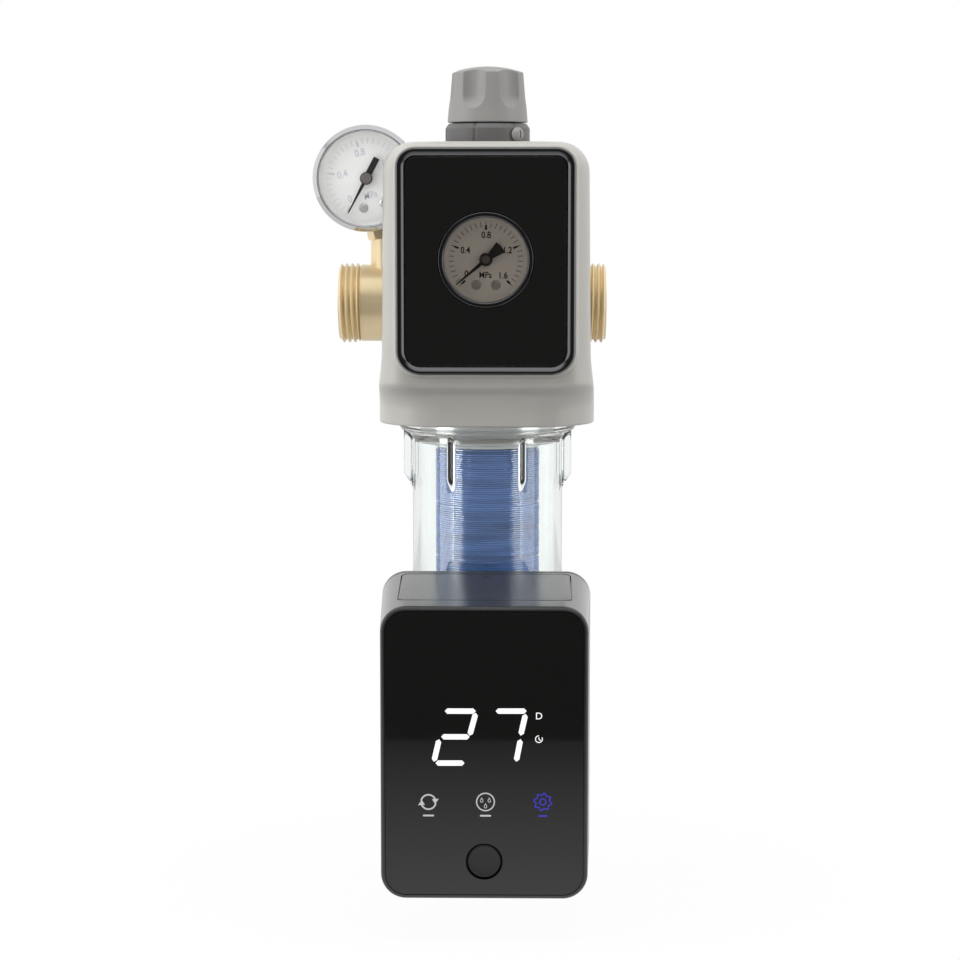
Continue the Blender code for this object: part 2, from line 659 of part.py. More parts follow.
def housing_form(offset, name):
    """The housing's outer form, or the form of its inside, drawn in by offset and open below."""
    top = HOUSING_TOP - offset
    bottom = HOUSING_BOTTOM - (OVER if offset else 0.0)
    edge = 0.0 if offset else FOOT_DRAW
    middle = (FACE_BOTTOM + SKIRT_Z) / 2
    low_levels = [bottom, bottom + edge, SKIRT_Z, middle, (middle + FACE_BOTTOM) / 2, FACE_BOTTOM, WAIST_Z]
    if offset:
        low_levels = [bottom, SKIRT_Z, middle, FACE_BOTTOM, WAIST_Z]
    corner = TOP_CORNER_R - offset
    angles = (0, 35, 65, 90) if not offset else (0, 50, 90)
    top_levels = [top - corner + corner * math.sin(math.radians(angle)) for angle in angles]
    steps = 3 if not offset else 2
    hood_top = top - REAR_STEP

    def front_section(z):
        inset = corner_inset(z, top, corner) + offset
        draw = FOOT_DRAW if z == bottom and not offset else 0.0
        half = half_width(z) - inset - draw
        front = FACE_Y + face_setback(z) + offset + draw
        if not offset:
            front += corner_inset(z, top, FACE_EDGE_R)
        share = min(max((FACE_BOTTOM - z) / (FACE_BOTTOM - SKIRT_Z), 0.0), 1.0)
        plan_r = PLAN_CORNER_R + (SKIRT_CORNER_R - PLAN_CORNER_R) * share - offset
        back = BLOCK_BACK_Y - offset
        outline = rounded((-half, half), (front, back), (plan_r, plan_r, 2 * OVER, 2 * OVER), steps)
        return [(x, y, z) for x, y in outline]

    def lower_section(z, shrink):
        half = half_width(z) - offset - shrink - REAR_STEP
        if z == bottom and not offset:
            half -= FOOT_DRAW
        back = COVER_BACK_Y - offset - shrink
        back_r = COVER_BACK_R - offset
        front = BLOCK_BACK_Y - BLOCK_LAP
        outline = rounded((-half, half), (front, back), (OVER, OVER, back_r, back_r), steps)
        return [(x, y, z) for x, y in outline]

    def hood_section(z):
        inset = corner_inset(z, hood_top, 0.5 * corner) + offset
        half = HOOD_HALF_WIDTH - inset
        back_r = HOOD_BACK_R - offset
        outline = rounded(
            (-half, half), (BLOCK_BACK_Y - BLOCK_LAP, HOOD_BACK_Y - inset), (OVER, OVER, back_r, back_r), steps
        )
        return [(x, y, z) for x, y in outline]

    form = new_object(name, loft([front_section(z) for z in low_levels + top_levels]))
    shoulder = LOWER_TOP - offset
    lower = [lower_section(z, 0.0) for z in low_levels]
    for angle in (0, 45, 90):
        turn = math.radians(angle)
        level = shoulder - SHOULDER_ROUND * (1 - math.sin(turn))
        lower.append(lower_section(level, SHOULDER_ROUND * (1 - math.cos(turn))))
    hood_corner = 0.5 * corner
    hood_levels = [0.0] + [hood_top - share * hood_corner for share in (1.0, 0.4, 0.1, 0.0)]
    join(form, loft(lower), loft([hood_section(z) for z in hood_levels]))
    return form


def post_places():
    return [(side * x, z) for x, z in (LOWER_POST, UPPER_POST) for side in (-1, 1)]


def post_end(x, upper):
    """Where a rear post stops so that it stays inside the rounded back corner beside it."""
    hood = (HOOD_HALF_WIDTH, HOOD_BACK_Y, HOOD_BACK_R)
    lower = (WAIST_HALF_WIDTH, COVER_BACK_Y, COVER_BACK_R)
    half, back, radius = hood if upper else lower
    past = max(abs(x) + REAR_POST_R - (half - radius), 0.0)
    return back - radius + math.sqrt(max(radius * radius - past * past, 0.0)) - REAR_STEP - GAP


def cover_half(name, material, front, outlet_gauge):
    """One of the two housing covers, split at the pipe axis so that they close round the head."""
    cover = housing_form(0.0, name)
    cover.data.materials.append(material)
    cut(cover, housing_form(HOUSING_WALL, "inside_of_" + name))
    split = GAP / 2
    wall_in = 0.5 * HOUSING_WALL
    posts = []
    holes = []
    for x, z in post_places():
        upper = z > 0.0
        corner = 0.0 if upper else corner_inset(abs(x) + POST_R, WAIST_HALF_WIDTH, PLAN_CORNER_R)
        if front:
            front_end = FACE_Y + face_setback(z) + wall_in + corner
            posts.append(rod(POST_R, front_end, -split, "Y", (x, 0, z), TINY))
            holes.append(rod(COVER_SCREW_R + GAP, -COVER_SCREW_BITE - GAP, OVER, "Y", (x, 0, z), TINY))
        else:
            posts.append(rod(REAR_POST_R, split, post_end(x, upper), "Y", (x, 0, z), TINY))
            counterbore = COVER_SCREW_HEAD_R + GAP
            holes.append(turned([
                (0.0, -OVER), (COVER_SCREW_R + GAP, -OVER), (COVER_SCREW_R + GAP, COVER_SCREW_SEAT_Y),
                (counterbore, COVER_SCREW_SEAT_Y), (counterbore, COVER_BACK_Y + OVER),
                (0.0, COVER_BACK_Y + OVER),
            ], "Y", (x, 0, z), TINY))
    join(cover, merged(posts))
    cut(cover, merged(holes))
    hole_r = BARREL_R + BARREL_CLEARANCE
    inside = WAIST_HALF_WIDTH - 4 * HOUSING_WALL
    cut(cover, rod(hole_r, -INLET_END, -inside, "X"))
    cut(cover, rod(hole_r, inside, OUTLET_END, "X"))
    cut(cover, rod(RISER_R + 2 * GAP, 0.5 * BARREL_R, HOUSING_TOP, "Z", (RISER_X, 0, 0)))
    cut(cover, rod(COLLAR_R + 2 * GAP, BONNET_WEB_Z - 4 * HOUSING_WALL, HOUSING_TOP + OVER))
    wide = 2 * SKIRT_HALF_WIDTH
    if front:
        hub = (0, 0, outlet_gauge.hub[2])
        cut(cover, rod(outlet_gauge.ring_r + 2 * GAP, FACE_Y - OVER, FACE_Y + 4 * HOUSING_WALL, "Y", hub))
        cut(cover, block((-wide, wide), (-split, wide), (-wide, wide)))
    else:
        cut(cover, block((-wide, wide), (-wide, split), (-wide, wide)))
    return cover


def cover_screws(material):
    for index, (x, z) in enumerate(post_places(), 1):
        seat = (x, COVER_SCREW_SEAT_Y + GAP, z)
        length = COVER_SCREW_SEAT_Y + COVER_SCREW_BITE - GAP
        pan_screw(f"rear_cover_screw_{index}", material, "Y", seat, COVER_SCREW_HEAD_R, COVER_SCREW_HEAD,
                  COVER_SCREW_R, length)


def front_panel(bezel_paint, panel_paint, outlet_gauge):
    corner = (BEZEL_BOTTOM_R, BEZEL_BOTTOM_R, BEZEL_TOP_R, BEZEL_TOP_R)
    outer = rounded((-BEZEL_HALF_WIDTH, BEZEL_HALF_WIDTH), (BEZEL_BOTTOM, BEZEL_TOP), corner, 6)

    def frame_outline(inset):
        half = BEZEL_HALF_WIDTH - inset
        radii = [radius - inset for radius in corner]
        return rounded((-half, half), (BEZEL_BOTTOM + inset, BEZEL_TOP - inset), radii, 6)

    bezel = new_object("panel_bezel", loft([
        [(x, BEZEL_BACK_Y, z) for x, z in outer],
        [(x, BEZEL_FRONT_Y + BEZEL_EDGE, z) for x, z in outer],
        [(x, BEZEL_FRONT_Y, z) for x, z in frame_outline(BEZEL_EDGE)],
    ]), bezel_paint)
    cut(bezel, extruded(frame_outline(BEZEL_WIDTH), BEZEL_FRONT_Y - OVER, BEZEL_BACK_Y + OVER, "Y"))
    hub = (0, 0, outlet_gauge.hub[2])
    panel_outline = frame_outline(BEZEL_WIDTH + GAP)
    panel = new_object("front_panel", extruded(panel_outline, PANEL_FRONT_Y, BEZEL_BACK_Y, "Y"), panel_paint)
    cut(panel, rod(outlet_gauge.ring_r + GAP, PANEL_FRONT_Y - OVER, FACE_Y, "Y", hub, FINE))


# Pressure reducer


def reducer(bonnet_paint, rubber, brass, steel):
    flange_top = BONNET_Z + BONNET_FLANGE_T
    screw_bore = SCREW_SHAFT_R + RUN
    bonnet = new_object("bonnet", turned([
        (BONNET_BORE_R, BONNET_Z), (COLUMN_R, BONNET_Z), (COLUMN_R, flange_top),
        (BONNET_R, flange_top + FLANGE_EDGE), (BONNET_R, BONNET_WEB_Z - COLLAR_FLARE),
        (COLLAR_R, BONNET_WEB_Z), (COLLAR_R, COLLAR_TOP),
        (COLLAR_R - COLLAR_CHAMFER, BONNET_TOP), (screw_bore, BONNET_TOP), (screw_bore, BONNET_WEB_Z),
        (BONNET_BORE_R, BONNET_WEB_Z),
    ]), bonnet_paint)
    grooves = []
    for index in range(COLLAR_GROOVES):
        groove = block(
            (COLLAR_R - COLLAR_GROOVE_DEPTH, COLLAR_R + OVER),
            (-COLLAR_GROOVE_WIDTH / 2, COLLAR_GROOVE_WIDTH / 2),
            (HOUSING_TOP - OVER, BONNET_TOP + OVER))
        groove.transform(Matrix.Rotation(math.tau * (index + 0.5) / COLLAR_GROOVES, 4, "Z"))
        grooves.append(groove)
    cut(bonnet, merged(grooves))
    lock_turn = Matrix.Rotation(math.radians(LOCK_SCREW_ANGLE - 90.0), 4, "Z")
    lock_place = lock_turn @ Matrix.Translation((COLLAR_R, 0, LOCK_SCREW_Z))
    lock_hole = rod(LOCK_SHANK_R + GAP, -LOCK_SHANK - OVER, OVER, "X", (0, 0, 0), TINY)
    lock_hole.transform(lock_place)
    cut(bonnet, lock_hole)
    lock_screw = turned([
        (0.0, -LOCK_SHANK), (LOCK_SHANK_R, -LOCK_SHANK), (LOCK_SHANK_R, GAP), (LOCK_SCREW_R, GAP),
        (LOCK_SCREW_R, 0.4 * LOCK_HEAD), (0.8 * LOCK_SCREW_R, 0.7 * LOCK_HEAD),
        (0.45 * LOCK_SCREW_R, 0.93 * LOCK_HEAD), (0.0, LOCK_HEAD),
    ], "X", (0, 0, 0), SMALL)
    lock_screw.transform(lock_place)
    new_object("bonnet_lock_screw", lock_screw, bonnet_paint)

    new_object("diaphragm", turned([
        (0.0, DIAPHRAGM_Z), (DIAPHRAGM_R, DIAPHRAGM_Z), (DIAPHRAGM_R, DIAPHRAGM_Z + DIAPHRAGM_T),
        (0.0, DIAPHRAGM_Z + DIAPHRAGM_T),
    ]), rubber)
    new_object("diaphragm_plate", turned([
        (0.0, PLATE_Z), (PLATE_R, PLATE_Z), (PLATE_R, PLATE_Z + 0.7 * PLATE_T),
        (PLATE_R - 0.3 * PLATE_T, PLATE_Z + PLATE_T), (0.0, PLATE_Z + PLATE_T),
    ]), brass)
    guide_r = COLUMN_BORE_R - GAP
    low = DIVIDER_TOP + GAP
    guide_low = PIPE_BORE_R + GUIDE_RISE
    waist_r = CARTRIDGE_SEAT_R + CARTRIDGE_WALL
    waist_low = low + CARTRIDGE_FOOT + CARTRIDGE_TAPER
    waist_high = guide_low - CARTRIDGE_FOOT
    new_object("reducer_cartridge", turned([
        (CARTRIDGE_SEAT_R, low), (guide_r, low), (guide_r, low + CARTRIDGE_FOOT), (waist_r, waist_low),
        (waist_r, waist_high), (guide_r, guide_low), (guide_r, HEAD_TOP - PISTON_EDGE),
        (0.6 * guide_r, HEAD_TOP - GAP), (0.0, HEAD_TOP - GAP), (0.0, guide_low),
        (CARTRIDGE_SEAT_R, waist_high),
    ]), brass)

    collar_top = BONNET_WEB_Z - GAP
    collar_low = collar_top - SCREW_COLLAR_T
    end = SPRING_Z + SCREW_END_CLEARANCE
    new_object("adjusting_screw", turned([
        (0.0, end), (SCREW_THREAD_R - SCREW_CHAMFER, end), (SCREW_THREAD_R, end + SCREW_CHAMFER),
        (SCREW_THREAD_R, collar_low), (SCREW_COLLAR_R, collar_low), (SCREW_COLLAR_R, collar_top),
        (SCREW_SHAFT_R, collar_top), (SCREW_SHAFT_R, SCREW_TOP - SCREW_CHAMFER),
        (SCREW_SHAFT_R - SCREW_CHAMFER, SCREW_TOP), (0.0, SCREW_TOP),
    ], steps=SMALL), steel)
    plate_r = BONNET_BORE_R - RUN
    plate = ring(SCREW_THREAD_R + GAP, plate_r, 0.0, SPRING_PLATE_T, "Z", (0, 0, SPRING_PLATE_Z))
    new_object("spring_plate", plate, brass, (0, 0, SPRING_PLATE_Z))
    range_spring(steel)


def range_spring(material):
    """An open coil between the diaphragm plate and the spring plate."""
    low = SPRING_Z + SPRING_WIRE_R
    high = SPRING_PLATE_Z - GAP - SPRING_WIRE_R
    curve = bpy.data.curves.new("range_spring", "CURVE")
    curve.dimensions = "3D"
    curve.bevel_depth = SPRING_WIRE_R
    curve.bevel_resolution = 1
    curve.use_fill_caps = True
    count = int(SPRING_TURNS * TINY)
    line = curve.splines.new("POLY")
    line.points.add(count)
    for index, point in enumerate(line.points):
        share = index / count
        angle = math.tau * SPRING_TURNS * share
        place = (SPRING_R * math.cos(angle), SPRING_R * math.sin(angle), low + (high - low) * share)
        point.co = (*place, 1.0)
    curve.materials.append(material)
    bpy.context.scene.collection.objects.link(bpy.data.objects.new("range_spring", curve))


def pressure_knob(material):
    """A tapered cap with a domed top, and flutes that are open at the top and round below."""
    socket_r = SCREW_SHAFT_R + GAP
    socket_top = SCREW_TOP + GAP
    rise = KNOB_TOP - KNOB_EDGE
    knob = new_object("pressure_knob", turned([
        (socket_r, KNOB_BOTTOM), (KNOB_LOW_R - KNOB_FOOT_EDGE, KNOB_BOTTOM),
        (KNOB_LOW_R, KNOB_BOTTOM + KNOB_FOOT_EDGE), (KNOB_HIGH_R, KNOB_EDGE),
        (KNOB_HIGH_R - 0.4 * rise, KNOB_EDGE + 0.45 * rise), (0.83 * KNOB_HIGH_R, KNOB_EDGE + 0.7 * rise),
        (0.5 * KNOB_HIGH_R, KNOB_EDGE + 0.93 * rise), (0.0, KNOB_TOP), (0.0, socket_top),
        (socket_r, socket_top),
    ], steps=FINE), material)
    flutes = []
    for index in range(FLUTES):
        round_end = [
            (FLUTE_R * math.sin(math.radians(angle)), FLUTE_LOW - FLUTE_R * math.cos(math.radians(angle)))
            for angle in (0, 35, 65, 90)
        ]
        top = KNOB_TOP + OVER
        flute = turned(round_end + [(FLUTE_R, top), (0.0, top)], steps=SMALL)
        flute.transform(Matrix.Translation((KNOB_LOW_R + FLUTE_R - FLUTE_DEPTH, 0, 0)))
        flute.transform(Matrix.Rotation(math.tau * index / FLUTES + math.radians(FLUTE_TURN), 4, "Z"))
        flutes.append(flute)
    cut(knob, merged(flutes))


# Gauges


@dataclass
class Gauge:
    """A dial gauge. Its hub is on its front plane, and its tilt turns its foot to the right."""

    name: str
    hub: tuple
    tilt: float
    ring_r: float
    lip_r: float
    case_r: float
    depth: float
    needle_turn: float
    needle_reach: float
    tail_reach: float
    tail_half_width: float
    back_stem: bool

    def place(self, bm):
        bm.transform(on_gauge(self.hub, self.tilt))
        return bm


OUTLET_GAUGE = Gauge(
    "outlet_gauge", OUTLET_HUB, 0.0, OUTLET_RING_R, OUTLET_RING_R - OUTLET_RING_LIP,
    OUTLET_RING_R - OUTLET_RING_WALL, OUTLET_DEPTH, OUTLET_NEEDLE_TURN, OUTLET_NEEDLE_REACH,
    OUTLET_TAIL_REACH, OUTLET_TAIL_HALF_WIDTH, True,
)
INLET_GAUGE = Gauge(
    "inlet_gauge", INLET_HUB, INLET_TILT, INLET_RING_R, INLET_RING_R - INLET_RING_LIP,
    INLET_RING_R - INLET_RING_WALL, INLET_DEPTH, INLET_NEEDLE_TURN, INLET_NEEDLE_REACH,
    INLET_TAIL_REACH, INLET_TAIL_HALF_WIDTH, False,
)


def gauge_pieces(gauge, case_paint, ring_paint, glass, dial_paint, needle_paint, brass):
    case_r = gauge.case_r
    rim = LIP_T + WINDOW_T + 2 * GAP
    bore_r = case_r - CASE_WALL
    case = new_object(f"{gauge.name}_case", gauge.place(turned([
        (0.0, gauge.depth), (case_r - GAUGE_EDGE_R, gauge.depth), (case_r, gauge.depth - GAUGE_EDGE_R),
        (case_r, rim), (bore_r, rim), (bore_r, gauge.depth - CASE_FLOOR), (0.0, gauge.depth - CASE_FLOOR),
    ], "Y")), case_paint)
    neck_y = -gauge.hub[1]
    if gauge.back_stem:
        hole = rod(STEM_NECK_R + GAP, gauge.depth - 2 * CASE_FLOOR, gauge.depth + OVER, "Y", steps=PLAIN)
    else:
        hole = rod(STEM_NECK_R + GAP, -case_r - OVER, -0.7 * case_r, "Z", (0, neck_y, 0), PLAIN)
    cut(case, gauge.place(hole))
    new_object(f"{gauge.name}_ring", gauge.place(turned([
        (gauge.lip_r, 0.3 * LIP_T), (gauge.lip_r + RING_EDGE, 0.0), (gauge.ring_r - RING_EDGE, 0.0),
        (gauge.ring_r, RING_EDGE),
        (gauge.ring_r, RING_DEPTH), (case_r + GAP, RING_DEPTH), (case_r + GAP, LIP_T), (gauge.lip_r, LIP_T),
    ], "Y")), ring_paint)
    new_object(f"{gauge.name}_window", gauge.place(
        rod(case_r, LIP_T + GAP, LIP_T + GAP + WINDOW_T, "Y", steps=ROUND)), glass)
    dial = ring(NEEDLE_SHAFT_R + RUN, bore_r - GAP, DIAL_SET_IN, DIAL_SET_IN + DIAL_T, "Y", steps=ROUND)
    new_object(f"{gauge.name}_dial", gauge.place(dial), dial_paint)
    gauge_needle(gauge, needle_paint)
    gauge_stem(gauge, brass)


def gauge_needle(gauge, material):
    """A pointer with a counterweight tail, a hub and a shaft that runs in the movement."""
    tip = NEEDLE_TIP_HALF_WIDTH
    root = NEEDLE_ROOT_HALF_WIDTH
    outline = [
        (-root, 0.0), (-gauge.tail_half_width, -gauge.tail_reach), (gauge.tail_half_width, -gauge.tail_reach),
        (root, 0.0), (tip, gauge.needle_reach), (-tip, gauge.needle_reach),
    ]
    low = NEEDLE_SET_IN - NEEDLE_T / 2
    pointer = extruded(outline, low, low + NEEDLE_T, "Y")
    turn = Matrix.Rotation(math.radians(gauge.needle_turn), 4, "Y")
    pointer.transform(turn)
    needle = new_object(f"{gauge.name}_needle", gauge.place(pointer), material, gauge.hub)
    hub_back = low + NEEDLE_T + HUB_BACK
    shaft_back = DIAL_SET_IN + DIAL_T + SHAFT_PAST_DIAL
    join(needle, gauge.place(turned([
        (0.0, low - HUB_RISE), (NEEDLE_HUB_R - HUB_RISE, low - HUB_RISE), (NEEDLE_HUB_R, low),
        (NEEDLE_HUB_R, hub_back), (NEEDLE_SHAFT_R, hub_back), (NEEDLE_SHAFT_R, shaft_back), (0.0, shaft_back),
    ], "Y", steps=SMALL)))


def gauge_stem(gauge, material):
    """The movement block behind the dial, its neck through the case, a hexagon and a threaded stub."""
    front = DIAL_SET_IN + DIAL_T + GAP
    back = front + MOVEMENT_DEPTH
    movement = block((-MOVEMENT_HALF_WIDTH, MOVEMENT_HALF_WIDTH), (front, back), (MOVEMENT_LOW, MOVEMENT_HIGH))
    stem = new_object(f"{gauge.name}_stem", gauge.place(movement), material)
    if gauge.back_stem:
        hexagon_low = gauge.depth + GAP
        hexagon_high = PORT_FACE_Y - gauge.hub[1] - GAP
        neck = rod(STEM_NECK_R, back - OVER, hexagon_low + OVER, "Y", steps=PLAIN)
        hexagon = rod(BACK_HEXAGON_R, hexagon_low, hexagon_high, "Y", steps=6)
        stub = rod(STEM_STUB_R, hexagon_high - OVER, hexagon_high + PORT_DEPTH - GAP, "Y", steps=PLAIN)
    else:
        middle = (0, -gauge.hub[1], 0)
        hexagon_high = -gauge.case_r - GAP
        hexagon_low = -RISER_FACE + GAP
        neck = rod(STEM_NECK_R, hexagon_high - OVER, MOVEMENT_LOW + OVER, "Z", middle, PLAIN)
        hexagon = rod(FOOT_HEXAGON_R, hexagon_low, hexagon_high, "Z", middle, 6)
        stub = rod(STEM_STUB_R, hexagon_low - PORT_DEPTH + 2 * GAP, hexagon_low + OVER, "Z", middle, PLAIN)
    join(stem, gauge.place(neck), gauge.place(hexagon), gauge.place(stub))
    bearing_back = DIAL_SET_IN + DIAL_T + SHAFT_PAST_DIAL + BEARING_PAST_SHAFT
    bearing = rod(NEEDLE_SHAFT_R + RUN, front - OVER, bearing_back, "Y", steps=SMALL)
    cut(stem, gauge.place(bearing))


# Bowl and filter


def bowl_and_filter(clear, rubber, blue, cap_paint):
    seat_r = NECK_R + 2 * O_RING_R + 2 * GAP
    seat_low = BOWL_TOP - 2 * O_RING_R - GAP
    outside_low = BOWL_FLOOR - BOWL_WALL

    def foot(wall_r, floor, radius):
        """The rounded foot from the wall down to the floor."""
        points = []
        for angle in (0, 30, 60, 90):
            turn = math.radians(angle)
            points.append((wall_r - radius * (1 - math.cos(turn)), floor + radius * (1 - math.sin(turn))))
        return points

    bowl = new_object("bowl", turned([
        (seat_r, BOWL_TOP), (BOWL_FLANGE_R, BOWL_TOP), (BOWL_FLANGE_R, BOWL_FLANGE_LOW),
        (BOWL_R + 0.5 * BOWL_WALL, BOWL_FLANGE_LOW - 0.7 * BOWL_WALL),
        (BOWL_R, BOWL_FLANGE_LOW - 1.5 * BOWL_WALL),
        *foot(BOWL_R, outside_low, BOWL_FOOT_R + BOWL_WALL), (NOZZLE_R, outside_low), (NOZZLE_R, NOZZLE_END),
        (NOZZLE_BORE_R, NOZZLE_END), (NOZZLE_BORE_R, BOWL_FLOOR),
        *reversed(foot(BOWL_BORE_R, BOWL_FLOOR, BOWL_FOOT_R)),
        (BOWL_BORE_R, seat_low), (seat_r, seat_low),
    ]), clear)
    ribs = []
    for index in range(RIBS):
        inner = BOWL_R - 0.5 * BOWL_WALL
        rib = extruded([
            (inner, RIB_END), (BOWL_R, RIB_END), (RIB_R, RIB_BEND), (RIB_R, BOWL_FLANGE_LOW + 2 * OVER),
            (inner, BOWL_FLANGE_LOW + 2 * OVER),
        ], -RIB_WIDTH / 2, RIB_WIDTH / 2, "Y")
        rib.transform(Matrix.Rotation(math.tau * index / RIBS, 4, "Z"))
        ribs.append(rib)
    join(bowl, merged(ribs))
    o_ring_z = BOWL_TOP - O_RING_R
    circle = [math.radians(60.0 * step) for step in range(6)]
    mean_r = NECK_R + O_RING_R + GAP
    new_object("bowl_o_ring", turned([
        (mean_r + O_RING_R * math.cos(turn), o_ring_z + O_RING_R * math.sin(turn)) for turn in circle
    ]), rubber)

    tube_r = DIVIDER_HOLE_R - GAP
    tube_top = DIVIDER_TOP - CAP_TUBE_SET_IN
    cap_top = FILTER_TOP + FILTER_CAP_T
    new_object("filter_top_cap", turned([
        (CAP_TUBE_BORE_R, tube_top), (tube_r, tube_top), (tube_r, cap_top),
        (FILTER_R, cap_top), (FILTER_R, FILTER_TOP + GAP), (CAP_TUBE_BORE_R, FILTER_TOP + GAP),
    ]), cap_paint)
    pack = (FILTER_TOP - FILTER_BOTTOM) / FILTER_PACKS
    profile = [(FILTER_BORE_R, FILTER_BOTTOM)]
    for index in range(FILTER_PACKS):
        low = FILTER_BOTTOM + pack * index
        high = low + pack - FILTER_GROOVE
        profile += [(FILTER_R, low), (FILTER_R, high)]
        if index < FILTER_PACKS - 1:
            profile += [(FILTER_R - FILTER_GROOVE, high), (FILTER_R - FILTER_GROOVE, low + pack)]
    profile += [(FILTER_R - FILTER_GROOVE, FILTER_TOP - FILTER_GROOVE), (FILTER_R - FILTER_GROOVE, FILTER_TOP)]
    profile.append((FILTER_BORE_R, FILTER_TOP))
    new_object("filter_discs", turned(profile, steps=PLAIN), blue)
    cap_low = FILTER_BOTTOM - GAP - FILTER_CAP_T
    new_object("filter_bottom_cap", turned([
        (0.0, cap_low), (FOOT_R - FOOT_WALL, cap_low), (FOOT_R - FOOT_WALL, FILTER_FOOT_Z),
        (FOOT_R, FILTER_FOOT_Z), (FOOT_R, cap_low), (FILTER_R, cap_low), (FILTER_R, FILTER_BOTTOM - GAP),
        (0.0, FILTER_BOTTOM - GAP),
    ]), cap_paint)


# Drain valve


def ball_seat(name, side, material):
    """A ring that fits the ball. Side is 1 above the ball and -1 below it."""
    fit_r = BALL_R + SEAT_CLEARANCE
    cone = [
        (fit_r * math.sin(math.radians(angle)), fit_r * math.cos(math.radians(angle))) for angle in (66, 54, 43)
    ]
    profile = [(cone[-1][0], SEAT_HEIGHT), (SEAT_R, SEAT_HEIGHT), (SEAT_R, cone[0][1])] + cone
    profile = [(radius, side * height) for radius, height in profile]
    new_object(name, turned(profile, "Z", (0, 0, VALVE_Z), PLAIN), material)


def drain_valve(brass, steel, seat_paint, cap_paint):
    chamber_r = SEAT_R + GAP
    socket_r = NOZZLE_R + GAP
    socket_floor = NOZZLE_END - GAP
    valve_low = VALVE_Z - VALVE_LOW
    body = new_object("valve_body", turned([
        (socket_r, VALVE_TOP), (VALVE_R, VALVE_TOP), (VALVE_R, valve_low), (chamber_r, valve_low),
        (chamber_r, CHAMBER_TOP), (BALL_BORE_R, CHAMBER_TOP), (BALL_BORE_R, socket_floor),
        (socket_r, socket_floor),
    ]), brass)
    boss = rod(VALVE_BOSS_R, FLANGE_BACK_Y - OVER, -chamber_r - OVER, "Y", (0, 0, VALVE_Z))
    flange = extruded(rounded(
        (-FLANGE_HALF_WIDTH, FLANGE_HALF_WIDTH), (VALVE_Z - FLANGE_HALF_HEIGHT, VALVE_Z + FLANGE_HALF_HEIGHT),
        [FLANGE_CORNER_R] * 4, 4), FLANGE_FRONT_Y, FLANGE_BACK_Y, "Y")
    join(body, boss, flange)
    seal_back = FLANGE_FRONT_Y + SEAL_LENGTH + 2 * GAP
    cut(body, turned([
        (0.0, FLANGE_FRONT_Y - OVER), (SEAL_R + GAP, FLANGE_FRONT_Y - OVER), (SEAL_R + GAP, seal_back),
        (STEM_R + RUN, seal_back), (STEM_R + RUN, -0.8 * BALL_R), (0.0, -0.8 * BALL_R),
    ], "Y", (0, 0, VALVE_Z), PLAIN))
    cut(body, merged([
        rod(FLANGE_SCREW_R + GAP, FLANGE_FRONT_Y - OVER, FLANGE_BACK_Y + OVER, "Y", (x, 0, z), TINY)
        for x, z in flange_screw_places()
    ]))
    ball_seat("ball_seat_upper", 1, seat_paint)
    ball_seat("ball_seat_lower", -1, seat_paint)

    axis = (0.0, 0.0, VALVE_Z)
    ball = bmesh.new()
    bmesh.ops.create_uvsphere(ball, u_segments=PLAIN, v_segments=TINY, radius=BALL_R)
    ball.transform(Matrix.Translation(axis))
    ball_object = new_object("valve_ball", ball, steel, axis)
    cut(ball_object, rod(BALL_BORE_R, -BALL_R - OVER, BALL_R + OVER, "X", axis, PLAIN))
    slot_half = BLADE_HALF_WIDTH + GAP
    shoulder = -BALL_R - STEM_SHOULDER
    blade_end = shoulder + BLADE_LENGTH
    cut(ball_object, block(
        (-slot_half, slot_half), (-BALL_R - OVER, blade_end + GAP),
        (VALVE_Z - BALL_R - OVER, VALVE_Z + BALL_R + OVER)))
    stem_end = GEAR_FRONT_Y - 0.5 * PLATE_GAP
    stem = new_object("valve_stem", rod(STEM_R, stem_end, shoulder, "Y", axis, PLAIN), steel, axis)
    join(stem, block((-BLADE_HALF_WIDTH, BLADE_HALF_WIDTH), (shoulder - OVER, blade_end),
                     (VALVE_Z - BLADE_HALF_HEIGHT, VALVE_Z + BLADE_HALF_HEIGHT)))
    new_object("stem_seal", ring(
        STEM_R + GAP, SEAL_R, FLANGE_FRONT_Y + GAP, FLANGE_FRONT_Y + GAP + SEAL_LENGTH, "Y", axis, PLAIN,
    ), seat_paint)
    drain_spout(cap_paint, valve_low)


def drain_spout(material, valve_low):
    """Screwed into the valve from below: a collar and a barbed hose tail."""
    top = VALVE_Z - SEAT_HEIGHT - GAP
    collar_top = valve_low - GAP
    collar_low = collar_top - SPOUT_COLLAR
    bore_r = BALL_BORE_R
    profile = [(bore_r, top), (SEAT_R, top), (SEAT_R, collar_top), (VALVE_R, collar_top), (VALVE_R, collar_low)]
    barb = (collar_low - SPOUT_END) / (BARBS + 1)
    profile += [(HOSE_TAIL_R, collar_low), (HOSE_TAIL_R, collar_low - barb)]
    for index in range(BARBS):
        high = collar_low - barb * (index + 1)
        profile += [(HOSE_TAIL_R + BARB_HEIGHT, high), (HOSE_TAIL_R, high - barb)]
    profile.append((bore_r, SPOUT_END))
    new_object("drain_spout", turned(profile, steps=PLAIN), material)


# Gear drive


def flange_screw_places():
    x = FLANGE_HALF_WIDTH - FLANGE_SCREW_INSET
    z = FLANGE_HALF_HEIGHT - FLANGE_SCREW_INSET
    return [(-x, VALVE_Z + z), (x, VALVE_Z - z)]


